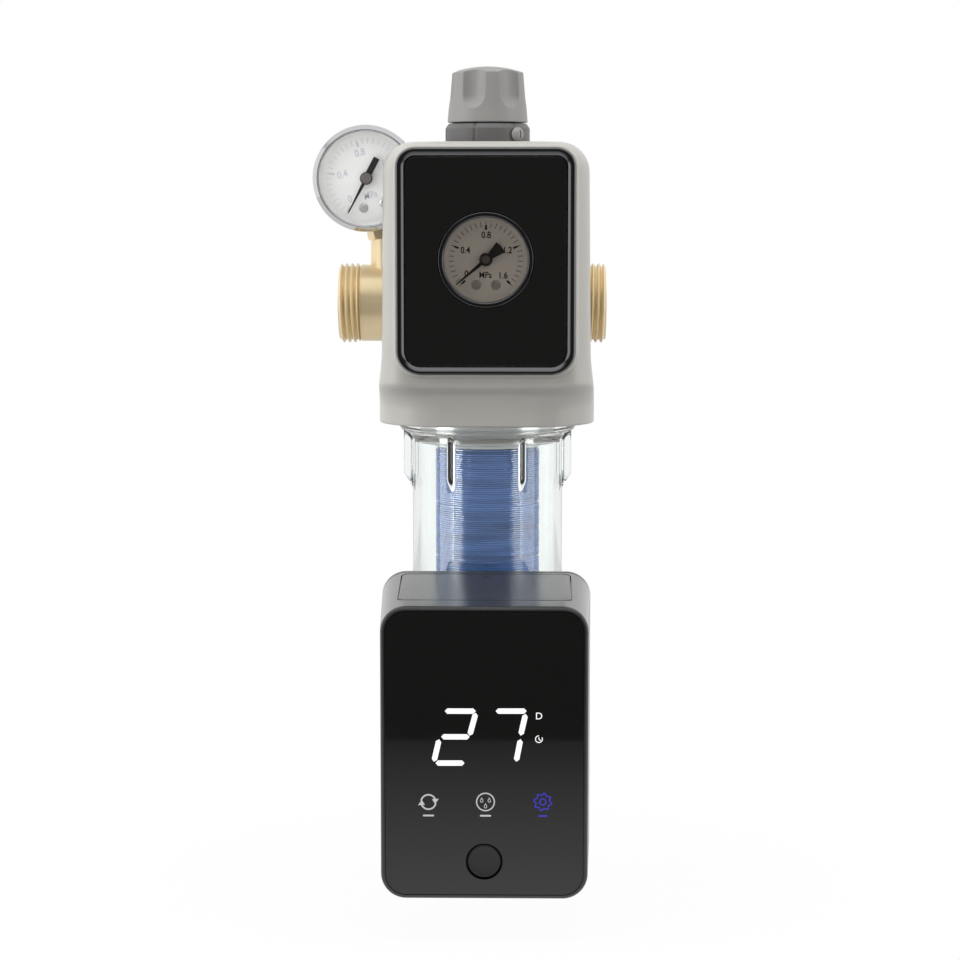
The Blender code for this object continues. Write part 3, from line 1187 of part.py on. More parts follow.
def gear_outline(teeth, tooth_at):
    """An involute gear's outline in XZ about the origin, with a tooth centred at an angle in degrees."""
    pitch_r = GEAR_MODULE * teeth / 2
    base_r = pitch_r * math.cos(math.radians(PRESSURE_ANGLE))
    tip_r = pitch_r + 0.9 * GEAR_MODULE
    root_r = pitch_r - 1.25 * GEAR_MODULE

    def involute(radius):
        ratio = min(base_r / radius, 1.0)
        angle = math.acos(ratio)
        return math.tan(angle) - angle

    half_tooth = math.pi * TOOTH_SHARE / teeth
    flank = []
    for radius in (root_r, pitch_r, tip_r):
        reach = half_tooth + involute(pitch_r) - involute(max(radius, base_r))
        flank.append((radius, reach))
    points = []
    for index in range(teeth):
        middle = math.radians(tooth_at) + math.tau * index / teeth
        for radius, reach in flank:
            points.append((radius, middle - reach))
        for radius, reach in reversed(flank):
            points.append((radius, middle + reach))
    return [(radius * math.cos(angle), radius * math.sin(angle)) for radius, angle in points]


def gear_drive(gear_paint, steel, plate_paint):
    axis = (0.0, 0.0, VALVE_Z)
    gear = extruded(gear_outline(GEAR_TEETH, 0.0), GEAR_FRONT_Y, GEAR_BACK_Y, "Y")
    gear.transform(Matrix.Translation(axis))
    gear_object = new_object("output_gear", gear, gear_paint, axis)
    cut(gear_object, rod(STEM_R + GAP, GEAR_FRONT_Y - OVER, GEAR_BACK_Y + OVER, "Y", axis, PLAIN))

    pinion_axis = (PINION_X, 0.0, VALVE_Z)
    pinion = extruded(gear_outline(PINION_TEETH, 180.0 / PINION_TEETH), GEAR_FRONT_Y, GEAR_BACK_Y, "Y")
    pinion.transform(Matrix.Translation(pinion_axis))
    pinion_object = new_object("motor_pinion", pinion, gear_paint, pinion_axis)
    plate_front = DRIVE_PLATE_Y - DRIVE_PLATE_T
    motor_back = plate_front - GAP
    shaft_end = motor_back - SHAFT_IN_MOTOR
    join(pinion_object, rod(PINION_SHAFT_R, shaft_end, GEAR_FRONT_Y + OVER, "Y", pinion_axis, SMALL))

    low = VALVE_Z - DRIVE_PLATE_HALF_HEIGHT
    high = VALVE_Z + DRIVE_PLATE_HALF_HEIGHT
    sides = (DRIVE_POST_X[0] - DRIVE_PLATE_MARGIN[0], DRIVE_POST_X[1] + DRIVE_PLATE_MARGIN[1])
    outline = rounded(sides, (low, high), [DRIVE_PLATE_CORNER_R] * 4, 3)
    plate = extruded(outline, plate_front, DRIVE_PLATE_Y, "Y")
    plate_object = new_object("drive_plate", plate, plate_paint)
    cut_low = plate_front - OVER
    cut_high = DRIVE_PLATE_Y + OVER
    holes = [rod(DRIVE_PIN_R + GAP, cut_low, cut_high, "Y", (x, 0, VALVE_Z), TINY) for x in DRIVE_POST_X]
    holes.append(rod(PINION_SHAFT_R + RUN, cut_low, cut_high, "Y", pinion_axis, SMALL))
    cut(plate_object, merged(holes))

    front = motor_back - MOTOR_LENGTH
    boss_r = MOTOR_BOSS_SHARE * MOTOR_R
    body_front = front + MOTOR_BOSS
    motor = turned([
        (0.0, front), (boss_r, front), (boss_r, body_front), (MOTOR_R - MOTOR_EDGE, body_front),
        (MOTOR_R, body_front + MOTOR_EDGE), (MOTOR_R, motor_back), (PINION_SHAFT_R + RUN, motor_back),
        (PINION_SHAFT_R + RUN, shaft_end - GAP), (0.0, shaft_end - GAP),
    ], "Y", pinion_axis, PLAIN)
    new_object("gearmotor", motor, steel)


# Controller


def case_section(y, inset):
    """The case's outline at a depth, drawn in by inset. The top falls and the sides draw in forwards."""
    forward = CASE_BACK_Y - y
    half = CASE_HALF_WIDTH - CASE_DRAFT * forward - inset
    top = case_top(y) - inset
    bottom = CASE_BOTTOM + inset
    radius = CASE_CORNER_R - inset
    return [(x, y, z) for x, z in rounded((-half, half), (bottom, top), [radius] * 4, 3)]


def case_top(y):
    return CASE_TOP_BACK - CASE_TOP_SLOPE * (CASE_BACK_Y - y)


def lid_wedge(half, y_front, y_back, high, low):
    """A slab that follows the sloping top, between two depths below it."""
    outline = [
        (y_front, case_top(y_front) - low), (y_back, case_top(y_back) - low),
        (y_back, case_top(y_back) - high), (y_front, case_top(y_front) - high),
    ]
    return extruded(outline, -half, half, "X")


def glass_outline(inset):
    half = CASE_HALF_WIDTH - CASE_DRAFT * (CASE_BACK_Y - CASE_FRONT_Y) - CASE_EDGE_R - inset
    top = case_top(CASE_FRONT_Y) - CASE_EDGE_R - inset
    bottom = CASE_BOTTOM + CASE_EDGE_R + inset
    radius = CASE_CORNER_R - CASE_EDGE_R - inset
    return rounded((-half, half), (bottom, top), [radius] * 4, 3)


def front_shell(material):
    arc = [math.radians(angle) for angle in (0, 35, 65, 90)]
    sections = [case_section(FRONT_SHELL_BACK_Y, 0.0)]
    for turn in arc:
        y = CASE_FRONT_Y + CASE_EDGE_R * (1 - math.sin(turn))
        sections.append(case_section(y, CASE_EDGE_R * (1 - math.cos(turn))))
    shell = new_object("controller_front_shell", loft(sections), material)
    cut(shell, loft([
        case_section(FRONT_SHELL_BACK_Y + OVER, CASE_WALL_T), case_section(FRONT_WALL_BACK_Y, CASE_WALL_T)]))
    cut(shell, extruded(glass_outline(0.0), CASE_FRONT_Y - OVER, FRONT_WALL_Y, "Y"))
    through = (FRONT_WALL_Y - OVER, FRONT_WALL_BACK_Y + OVER)
    cut(shell, block((-DISPLAY_HALF_WIDTH, DISPLAY_HALF_WIDTH), through, (DISPLAY_BOTTOM, DISPLAY_TOP)))
    cut(shell, rod(BUTTON_R + RUN, *through, "Y", (0, 0, BUTTON_Z)))
    cut(shell, lid_wedge(LID_HALF_WIDTH + RUN, LID_FRONT_Y - RUN, LID_BACK_Y + RUN, -2 * OVER, LID_T + GAP))
    ledge = LEDGE - RUN
    sides = (LID_FRONT_Y + ledge, LID_BACK_Y - ledge)
    cut(shell, lid_wedge(LID_HALF_WIDTH - ledge, *sides, -OVER, 2 * CASE_WALL_T))
    join(shell, merged([
        rod(STANDOFF_R, FRONT_WALL_BACK_Y - 0.5 * CASE_FRONT_WALL, BOARD_FRONT_Y - GAP, "Y", (x, 0, z), TINY)
        for x in (-BOARD_HALF_WIDTH + STANDOFF_INSET, BOARD_HALF_WIDTH - STANDOFF_INSET)
        for z in (BOARD_TOP - STANDOFF_INSET, BOARD_BOTTOM + STANDOFF_INSET)
    ]))


def rear_shell(material):
    shell = new_object("controller_rear_shell", loft([
        case_section(REAR_SHELL_FRONT_Y, 0.0), case_section(CASE_BACK_Y - REAR_EDGE, 0.0),
        case_section(CASE_BACK_Y - 0.3 * REAR_EDGE, 0.3 * REAR_EDGE), case_section(CASE_BACK_Y, REAR_EDGE),
    ]), material)
    lip_front = FRONT_SHELL_BACK_Y - LIP_DEPTH
    lip_fit = CASE_WALL_T + GAP
    lip_root = REAR_SHELL_FRONT_Y + OVER
    lip = new_object("lip", loft([case_section(lip_root, lip_fit), case_section(lip_front, lip_fit)]))
    cut(lip, loft([
        case_section(lip_root + OVER, lip_fit + LIP_WALL), case_section(lip_front - OVER, lip_fit + LIP_WALL),
    ]))
    posts = []
    pin_end = DRIVE_PLATE_Y - DRIVE_PLATE_T - DRIVE_PIN_PROUD
    for x in DRIVE_POST_X:
        posts.append(turned([
            (0.0, lip_root), (DRIVE_POST_R, lip_root), (DRIVE_POST_R, DRIVE_PLATE_Y + GAP),
            (DRIVE_PIN_R, DRIVE_PLATE_Y + GAP), (DRIVE_PIN_R, pin_end), (0.0, pin_end),
        ], "Y", (x, 0, VALVE_Z), SMALL))
    join(shell, lip, merged(posts))
    through = (REAR_SHELL_FRONT_Y - OVER, CASE_BACK_Y + OVER)
    holes = [rod(FLANGE_SCREW_R + GAP, *through, "Y", (x, 0, z), TINY) for x, z in flange_screw_places()]
    holes.append(rod(STEM_R + RUN, *through, "Y", (0, 0, VALVE_Z), PLAIN))
    cut(shell, merged(holes))


def flange_screws(material):
    for index, (x, z) in enumerate(flange_screw_places(), 1):
        seat = (x, REAR_SHELL_FRONT_Y - GAP, z)
        pan_screw(f"flange_screw_{index}", material, "Y", seat, FLANGE_SCREW_HEAD_R, FLANGE_SCREW_HEAD,
                  FLANGE_SCREW_R, REAR_SHELL_T + FLANGE_T + GAP, -1.0)


def controls(glass_paint, board_paint, display_paint, button_paint, steel):
    glass = new_object("display_panel", extruded(
        glass_outline(GAP), CASE_FRONT_Y - GLASS_PROUD, GLASS_BACK_Y, "Y"), glass_paint)
    button_axis = (0.0, 0.0, BUTTON_Z)
    cut(glass, rod(BUTTON_R + RUN, CASE_FRONT_Y - OVER, GLASS_BACK_Y + OVER, "Y", button_axis, ROUND))

    face = CASE_FRONT_Y - GLASS_PROUD + BUTTON_SET_IN
    flange_back = BUTTON_FLANGE_Y + BUTTON_FLANGE_T
    button = turned([
        (0.0, face + BUTTON_DISH), (0.6 * BUTTON_R, face + 0.6 * BUTTON_DISH), (BUTTON_R - BUTTON_EDGE, face),
        (BUTTON_R, face + BUTTON_EDGE), (BUTTON_R, BUTTON_FLANGE_Y),
        (BUTTON_R + BUTTON_FLANGE, BUTTON_FLANGE_Y), (BUTTON_R + BUTTON_FLANGE, flange_back), (0.0, flange_back),
    ], "Y", button_axis, PLAIN)
    new_object("push_button", button, button_paint, (0.0, face, BUTTON_Z))

    board = block((-BOARD_HALF_WIDTH, BOARD_HALF_WIDTH), (BOARD_FRONT_Y, BOARD_FRONT_Y + BOARD_T),
                  (BOARD_BOTTOM, BOARD_TOP))
    board_object = new_object("circuit_board", board, board_paint)
    switch_front = flange_back + BUTTON_TRAVEL + GAP
    join(board_object, block(
        (-SWITCH_HALF_WIDTH, SWITCH_HALF_WIDTH), (switch_front, BOARD_FRONT_Y + 0.5 * BOARD_T),
        (BUTTON_Z - SWITCH_HALF_WIDTH, BUTTON_Z + SWITCH_HALF_WIDTH)))
    half = DISPLAY_HALF_WIDTH - DISPLAY_MARGIN
    display = block((-half, half), (FRONT_WALL_Y + 0.3 * CASE_FRONT_WALL, BOARD_FRONT_Y - GAP),
                    (DISPLAY_BOTTOM + DISPLAY_MARGIN, DISPLAY_TOP - DISPLAY_MARGIN))
    new_object("display_module", display, display_paint)


def battery_pack(tray_paint, lid_paint, cell_paint):
    first = -BATTERY_PITCH * (BATTERIES - 1) / 2
    places = [(first + BATTERY_PITCH * index, BATTERY_Y) for index in range(BATTERIES)]
    well_r = BATTERY_R + GAP
    cell_top = TRAY_TOP - CELL_SET_IN
    cell_low = cell_top - BATTERY_LENGTH
    tray_low = cell_low - GAP - TRAY_FLOOR
    half = -first + well_r + TRAY_WALL
    tray_back = REAR_SHELL_FRONT_Y - GAP
    tray = new_object("battery_tray", block(
        (-half, half), (BATTERY_Y - well_r - TRAY_WALL, tray_back), (tray_low, TRAY_TOP)), tray_paint)
    cut(tray, merged([
        rod(well_r, cell_low - GAP, TRAY_TOP + OVER, "Z", (x, y, 0), SMALL) for x, y in places]))
    slot_half = half - TRAY_SLOT_WALL
    cut(tray, block((-slot_half, slot_half), (BATTERY_Y + well_r + TRAY_WALL, tray_back + OVER),
                    (tray_low - OVER, TRAY_TOP - TRAY_SLOT_WALL)))
    for index, (x, y) in enumerate(places, 1):
        cell = turned([
            (0.0, cell_low), (BATTERY_R, cell_low), (BATTERY_R, cell_top - NUB_HEIGHT),
            (NUB_R, cell_top - NUB_HEIGHT), (NUB_R, cell_top), (0.0, cell_top),
        ], "Z", (x, y, 0), SMALL)
        new_object(f"battery_{index}", cell, cell_paint)
    lid_middle = (LID_BACK_Y + LID_FRONT_Y) / 2
    lid_shape = lid_wedge(LID_HALF_WIDTH, LID_FRONT_Y, LID_BACK_Y, 0.0, LID_T)
    lid = new_object("battery_cover", lid_shape, lid_paint, (0.0, lid_middle, case_top(lid_middle)))
    plug = LEDGE + GAP
    sides = (LID_FRONT_Y + plug, LID_BACK_Y - plug)
    join(lid, lid_wedge(LID_HALF_WIDTH - plug, *sides, 0.5 * LID_T, LID_T + LID_PLUG_T))


def main():
    for obj in list(bpy.data.objects):
        bpy.data.objects.remove(obj)
    brass = paint("brass", 226, 190, 120, 0.28, 1.0)
    steel = paint("steel", 190, 190, 192, 0.3, 1.0)
    chrome = paint("chrome", 215, 216, 218, 0.08, 1.0)
    grey = paint("housing_grey", 190, 188, 182, 0.4)
    knob_grey = paint("knob_grey", 156, 154, 152, 0.5)
    dark_grey = paint("bonnet_grey", 112, 108, 105, 0.5)
    gloss_black = paint("gloss_black", 22, 21, 20, 0.06)
    case_black = paint("case_black", 58, 58, 60, 0.35)
    clear = paint("clear_plastic", 245, 248, 247, 0.04, 0.0, 0.9)
    glass = paint("gauge_glass", 235, 240, 240, 0.03, 0.0, 0.9)
    dial_white = paint("dial_white", 236, 234, 228, 0.5)
    black = paint("needle_black", 20, 20, 20, 0.4)
    blue = paint("filter_blue", 60, 96, 150, 0.45)
    pale = paint("pale_plastic", 226, 228, 228, 0.4)
    rubber = paint("rubber_black", 26, 26, 26, 0.75)
    green = paint("board_green", 34, 84, 60, 0.5)
    cell_blue = paint("cell_wrap", 60, 74, 92, 0.35)

    head_body(brass, INLET_GAUGE, OUTLET_GAUGE)
    cover_half("front_cover", grey, True, OUTLET_GAUGE)
    cover_half("rear_cover", grey, False, OUTLET_GAUGE)
    cover_screws(steel)
    front_panel(chrome, gloss_black, OUTLET_GAUGE)
    reducer(dark_grey, rubber, brass, steel)
    pressure_knob(knob_grey)
    gauge_pieces(OUTLET_GAUGE, steel, chrome, glass, dial_white, black, brass)
    gauge_pieces(INLET_GAUGE, chrome, chrome, glass, dial_white, black, brass)
    bowl_and_filter(clear, rubber, blue, pale)
    drain_valve(brass, steel, pale, dark_grey)
    gear_drive(pale, steel, steel)
    front_shell(case_black)
    rear_shell(case_black)
    flange_screws(steel)
    controls(gloss_black, green, black, case_black, steel)
    battery_pack(dark_grey, case_black, cell_blue)


main()
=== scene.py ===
"""The looks of a self flushing water filter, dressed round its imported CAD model.

Lengths are in millimetres, in the CAD model's frame: X along the pipe, -Y the front, Z up.
"""

import json
import logging
import math
from dataclasses import dataclass
from enum import Enum

import bmesh
import bpy
import numpy as np
from mathutils import Matrix, Vector

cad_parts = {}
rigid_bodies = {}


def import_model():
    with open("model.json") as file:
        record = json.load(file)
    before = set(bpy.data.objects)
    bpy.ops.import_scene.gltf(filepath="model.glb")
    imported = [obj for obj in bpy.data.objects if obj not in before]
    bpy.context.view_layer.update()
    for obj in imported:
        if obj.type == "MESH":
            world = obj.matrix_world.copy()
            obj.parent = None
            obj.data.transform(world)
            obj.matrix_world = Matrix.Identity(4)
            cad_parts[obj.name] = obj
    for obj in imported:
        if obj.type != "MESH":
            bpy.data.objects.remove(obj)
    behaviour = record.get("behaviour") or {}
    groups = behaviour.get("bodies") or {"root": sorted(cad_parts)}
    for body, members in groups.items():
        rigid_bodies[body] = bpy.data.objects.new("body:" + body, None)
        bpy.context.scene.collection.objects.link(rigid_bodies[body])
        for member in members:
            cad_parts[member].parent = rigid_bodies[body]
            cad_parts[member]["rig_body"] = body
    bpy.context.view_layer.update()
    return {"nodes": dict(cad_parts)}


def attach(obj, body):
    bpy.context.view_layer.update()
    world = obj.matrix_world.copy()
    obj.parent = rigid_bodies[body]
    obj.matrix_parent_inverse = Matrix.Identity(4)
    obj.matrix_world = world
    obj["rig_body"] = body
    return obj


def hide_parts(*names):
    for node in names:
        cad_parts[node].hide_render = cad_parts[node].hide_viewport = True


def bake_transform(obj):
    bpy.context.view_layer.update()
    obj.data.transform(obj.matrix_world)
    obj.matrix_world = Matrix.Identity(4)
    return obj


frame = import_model()

LOG = logging.getLogger("filter_scene")
MM = 0.001
TOUCH = 0.002 * MM
SMOOTH_BELOW = 32.0
ROOT = "filter"


class Along(Enum):
    """The axis that a turned shape's height runs along."""

    X = "X"
    Y = "Y"
    Z = "Z"

    def turn(self) -> Matrix:
        """The turn that takes the Z axis to this one."""
        if self is Along.X:
            return Matrix.Rotation(math.radians(90.0), 4, "Y")
        if self is Along.Y:
            return Matrix.Rotation(math.radians(-90.0), 4, "X")
        return Matrix.Identity(4)


class Texture(Enum):
    """The fine surface that a finish has."""

    GRAIN = "moulded grain"
    TURNED = "lathe marks"
    BRUSHED = "brushed lines"
    SMUDGED = "smudges"
    CAST = "cast skin"


# Shapes as arrays


@dataclass
class Shape:
    """Points in millimetres and the faces between them."""

    points: np.ndarray
    faces: list

    def placed(self, matrix: Matrix) -> "Shape":
        """This shape moved and turned by a matrix whose lengths are in millimetres."""
        table = np.asarray(matrix, float)
        return Shape(self.points @ table[:3, :3].T + table[:3, 3], self.faces)

    def moved(self, x: float = 0.0, y: float = 0.0, z: float = 0.0) -> "Shape":
        """This shape moved along the axes."""
        return Shape(self.points + np.array([x, y, z]), self.faces)

    def joined(self, *others: "Shape") -> "Shape":
        """This shape and the others as one set of points and faces."""
        points = [self.points]
        faces = list(self.faces)
        count = len(self.points)
        for other in others:
            faces += [[index + count for index in face] for face in other.faces]
            points.append(other.points)
            count += len(other.points)
        return Shape(np.concatenate(points), faces)


def grid(points: np.ndarray, closed_rows: bool = False, closed_columns: bool = True) -> Shape:
    """A grid of points skinned with quads.

    Args:
        points: An array of rows by columns by 3.
        closed_rows: Whether the last row meets the first.
        closed_columns: Whether the last column meets the first.

    Returns:
        The shape, with each quad between two rows and two columns.
    """
    rows, columns = points.shape[:2]
    row = np.arange(rows if closed_rows else rows - 1)[:, None]
    column = np.arange(columns if closed_columns else columns - 1)[None, :]
    next_row = (row + 1) % rows
    next_column = (column + 1) % columns
    corners = (
        row * columns + column, row * columns + next_column,
        next_row * columns + next_column, next_row * columns + column,
    )
    quads = np.stack(np.broadcast_arrays(*corners), axis=-1).reshape(-1, 4)
    return Shape(points.reshape(-1, 3), quads.tolist())


def eased(profile: list, radius: float = 0.4, steps: int = 5, closed: bool = True) -> np.ndarray:
    """Round the corners of a profile.

    Each corner C between two neighbours gives way to the curve
    (1-s)(1-s) A + 2s(1-s) C + s s B, where A and B lie on the two edges,
    at the radius from C or at 0.45 of the edge where that is less.

    Args:
        profile: Rows of two coordinates, and a third that is the corner's own radius where given.
        radius: The radius of a corner that states none.
        steps: The number of points that take a corner's place.
        closed: Whether the profile's last point meets its first.

    Returns:
        The rounded profile, an array of points by 2.
    """
    corner = np.array([row[:2] for row in profile], float)
    reach = np.array([row[2] if len(row) > 2 else radius for row in profile], float)
    before = np.roll(corner, 1, axis=0)
    after = np.roll(corner, -1, axis=0)
    if not closed:
        before[0] = corner[0]
        after[-1] = corner[-1]
        reach[[0, -1]] = 0.0
    ends = []
    for neighbour in (before, after):
        way = neighbour - corner
        length = np.linalg.norm(way, axis=1)
        pull = np.minimum(reach, 0.45 * length)
        ends.append(corner + way * (pull / np.maximum(length, 1e-9))[:, None])
    share = np.linspace(0.0, 1.0, steps)[None, :, None]
    curve = (
        (1 - share) ** 2 * ends[0][:, None] + 2 * share * (1 - share) * corner[:, None]
        + share ** 2 * ends[1][:, None]
    )
    return curve.reshape(-1, 2)


def turned(profile: np.ndarray, along: Along = Along.Z, steps: int = 128, closed: bool = True) -> Shape:
    """Carry a profile round an axis: x = r cos a, y = r sin a, z = height.

    Args:
        profile: Radius and height of each point.
        along: The axis that the height runs along.
        steps: The number of places round the axis.
        closed: Whether the profile's last point meets its first.

    Returns:
        The turned surface.
    """
    profile = np.asarray(profile, float)
    angle = np.linspace(0.0, math.tau, steps, endpoint=False)
    radius = profile[:, 0][:, None]
    height = np.broadcast_to(profile[:, 1][:, None], (len(profile), steps))
    points = np.stack([radius * np.cos(angle), radius * np.sin(angle), height], axis=-1)
    return grid(points, closed_rows=closed).placed(along.turn())


def rod(radius: float, low: float, high: float, along: Along = Along.Z, edge: float = 0.0,
        steps: int = 96) -> Shape:
    """A round rod between two heights, with rounded edges where the edge is more than 0."""
    profile = [(0.0, low, 0.0), (radius, low, edge), (radius, high, edge), (0.0, high, 0.0)]
    return turned(eased(profile, steps=5 if edge else 2), along, steps)


def rounded_loops(x: tuple, y: tuple, radii: tuple, steps: int = 10) -> np.ndarray:
    """Rectangles with rounded corners, one to each level.

    A corner is the arc centre + radius (cos a, sin a) over a quarter turn.

    Args:
        x: Low and high x, as numbers or arrays with one value to a level.
        y: Low and high y, in the same way.
        radii: The four corner radii, from low x and low y round.
        steps: The points to each corner, less one.

    Returns:
        An array of levels by points by 2.
    """
    low_x, high_x, low_y, high_y, *bends = np.broadcast_arrays(*map(np.atleast_1d, (*x, *y, *radii)))
    quarter = np.linspace(0.0, math.pi / 2, steps + 1)
    corners = []
    for edge_x, edge_y, side_x, side_y, start, bend in (
        (low_x, low_y, 1, 1, math.pi, bends[0]), (high_x, low_y, -1, 1, 1.5 * math.pi, bends[1]),
        (high_x, high_y, -1, -1, 0.0, bends[2]), (low_x, high_y, 1, -1, 0.5 * math.pi, bends[3]),
    ):
        bend = bend[:, None]
        corners.append(np.stack([
            edge_x[:, None] + bend * (side_x + np.cos(start + quarter)),
            edge_y[:, None] + bend * (side_y + np.sin(start + quarter)),
        ], axis=-1))
    return np.concatenate(corners, axis=1)


def capped(shape: Shape, rows: int, columns: int) -> Shape:
    """Close the first and last rows of a grid with one flat face each."""
    first = list(range(columns))
    last = list(range((rows - 1) * columns, rows * columns))
    return Shape(shape.points, shape.faces + [first[::-1], last])


def lofted(loops: np.ndarray, heights: np.ndarray, along: Along = Along.Z) -> Shape:
    """Skin flat loops, one to a height, and close both ends.

    Args:
        loops: An array of levels by points by 2: XY for Z, and XZ for Y.
        heights: The place of each level along the axis.
        along: The axis across the loops.

    Returns:
        A closed shape.
    """
    level = np.broadcast_to(np.asarray(heights, float)[:, None], loops.shape[:2])
    if along is Along.Y:
        points = np.stack([loops[..., 0], level, loops[..., 1]], axis=-1)
    else:
        points = np.stack([loops[..., 0], loops[..., 1], level], axis=-1)
    return capped(grid(points), *loops.shape[:2])


def slab(outline: np.ndarray, low: float, high: float) -> Shape:
    """A flat outline in X and Z, given a thickness from low y to high y."""
    outline = np.asarray(outline, float)
    return lofted(np.stack([outline, outline]), np.array([low, high]), Along.Y)


def box_shape(x: tuple, y: tuple, z: tuple) -> Shape:
    """A box between three pairs of low and high."""
    loop = np.array([(x[0], z[0]), (x[1], z[0]), (x[1], z[1]), (x[0], z[1])])
    return slab(loop, *y)


def polar(radius: np.ndarray, angle: np.ndarray, height: np.ndarray, closed_rows: bool = True) -> Shape:
    """The surface about Z whose radius is given for each height and each angle."""
    level = np.broadcast_to(height[:, None], radius.shape)
    points = np.stack([radius * np.cos(angle), radius * np.sin(angle), level], axis=-1)
    return grid(points, closed_rows=closed_rows)


def upright(loops: list) -> Shape:
    """The closed band through a ring of loops, each given by its X and Z and by its y."""
    points = [np.stack([loop[:, 0], np.full(len(loop), y), loop[:, 1]], axis=-1) for loop, y in loops]
    return grid(np.stack(points), closed_rows=True)


def plain_mesh(name: str, shape: Shape) -> bpy.types.Mesh:
    """A mesh of a shape, in metres, with doubles merged and faces pointing out."""
    mesh = bpy.data.meshes.new(name)
    mesh.from_pydata((shape.points * MM).tolist(), [], shape.faces)
    work = bmesh.new()
    work.from_mesh(mesh)
    bmesh.ops.remove_doubles(work, verts=work.verts, dist=TOUCH)
    bmesh.ops.dissolve_degenerate(work, edges=work.edges, dist=TOUCH)
    bmesh.ops.recalc_face_normals(work, faces=work.faces)
    work.to_mesh(mesh)
    work.free()
    return mesh


def carved(name: str, base: Shape, *steps: tuple) -> bpy.types.Mesh:
    """Join and cut shapes, in order.

    Args:
        name: The mesh's name.
        base: The shape that the steps change.
        steps: Pairs of UNION, DIFFERENCE or INTERSECT and a shape.

    Returns:
        The resulting mesh.
    """
    scene = bpy.context.scene.collection.objects
    body = bpy.data.objects.new(name, plain_mesh(name, base))
    scene.link(body)
    tools = []
    for operation, shape in steps:
        tool = bpy.data.objects.new("tool", plain_mesh("tool", shape))
        scene.link(tool)
        modifier = body.modifiers.new(operation, "BOOLEAN")
        modifier.operation = operation
        modifier.solver = "EXACT"
        modifier.object = tool
        tools.append(tool)
    bpy.context.view_layer.update()
    result = bpy.data.meshes.new_from_object(body.evaluated_get(bpy.context.evaluated_depsgraph_get()))
    for obj in (body, *tools):
        mesh = obj.data
        bpy.data.objects.remove(obj)
        bpy.data.meshes.remove(mesh)
    result.name = name
    return result


def lettering(text: str, size: float, thickness: float, weight: float = 0.0) -> Shape:
    """A word or number as a thin solid in X and Z that faces the front, centred on the origin.

    Args:
        text: The characters.
        size: The size of the type.
        thickness: The thickness of the solid.
        weight: How far each outline grows; a grown one is set narrower by a seventh.

    Returns:
        The solid.
    """
    curve = bpy.data.curves.new("lettering", "FONT")
    curve.body = text
    curve.size = size
    curve.extrude = thickness / 2
    curve.offset = weight
    curve.resolution_u = 3
    curve.align_x = "CENTER"
    curve.align_y = "CENTER"
    obj = bpy.data.objects.new("lettering", curve)
    bpy.context.scene.collection.objects.link(obj)
    bpy.context.view_layer.update()
    mesh = bpy.data.meshes.new_from_object(obj.evaluated_get(bpy.context.evaluated_depsgraph_get()))
    points = np.zeros(3 * len(mesh.vertices), np.float32)
    mesh.vertices.foreach_get("co", points)
    faces = [list(polygon.vertices) for polygon in mesh.polygons]
    bpy.data.objects.remove(obj)
    bpy.data.curves.remove(curve)
    bpy.data.meshes.remove(mesh)
    points = points.reshape(-1, 3).astype(float) * np.array([0.86 if weight else 1.0, 1.0, 1.0])
    return Shape(points, faces).placed(Matrix.Rotation(math.radians(90.0), 4, "X"))


# Shader groups


class Tree:
    """Adds nodes to a node tree and links them."""

    def __init__(self, tree: bpy.types.NodeTree) -> None:
        """Take the tree that the nodes go into."""
        self.tree = tree

    def add(self, kind: str, values: dict | None = None, **settings: object) -> bpy.types.Node:
        """Add a node of a kind, set its options, and set or link its inputs by name or number."""
        node = self.tree.nodes.new("ShaderNode" + kind)
        for key, value in settings.items():
            setattr(node, key, value)
        for key, value in (values or {}).items():
            if isinstance(value, bpy.types.NodeSocket):
                self.tree.links.new(value, node.inputs[key])
            else:
                node.inputs[key].default_value = value
        return node

    def math(self, operation: str, first: object, second: object = 0.0) -> bpy.types.NodeSocket:
        """The output of a Math node."""
        return self.add("Math", {0: first, 1: second}, operation=operation).outputs[0]


def group(name: str, inputs: dict, outputs: tuple) -> tuple:
    """Start a shader group.

    Args:
        name: The group's name.
        inputs: The name and default of each input, a number or three of them.
        outputs: The names of the outputs.

    Returns:
        The group, its tree writer, its input node and its output node.
    """
    tree = bpy.data.node_groups.new(name, "ShaderNodeTree")
    for key, default in inputs.items():
        kind = "NodeSocketVector" if isinstance(default, tuple) else "NodeSocketFloat"
        tree.interface.new_socket(key, in_out="INPUT", socket_type=kind).default_value = default
    for key in outputs:
        tree.interface.new_socket(key, in_out="OUTPUT", socket_type="NodeSocketFloat")
    return tree, Tree(tree), tree.nodes.new("NodeGroupInput"), tree.nodes.new("NodeGroupOutput")


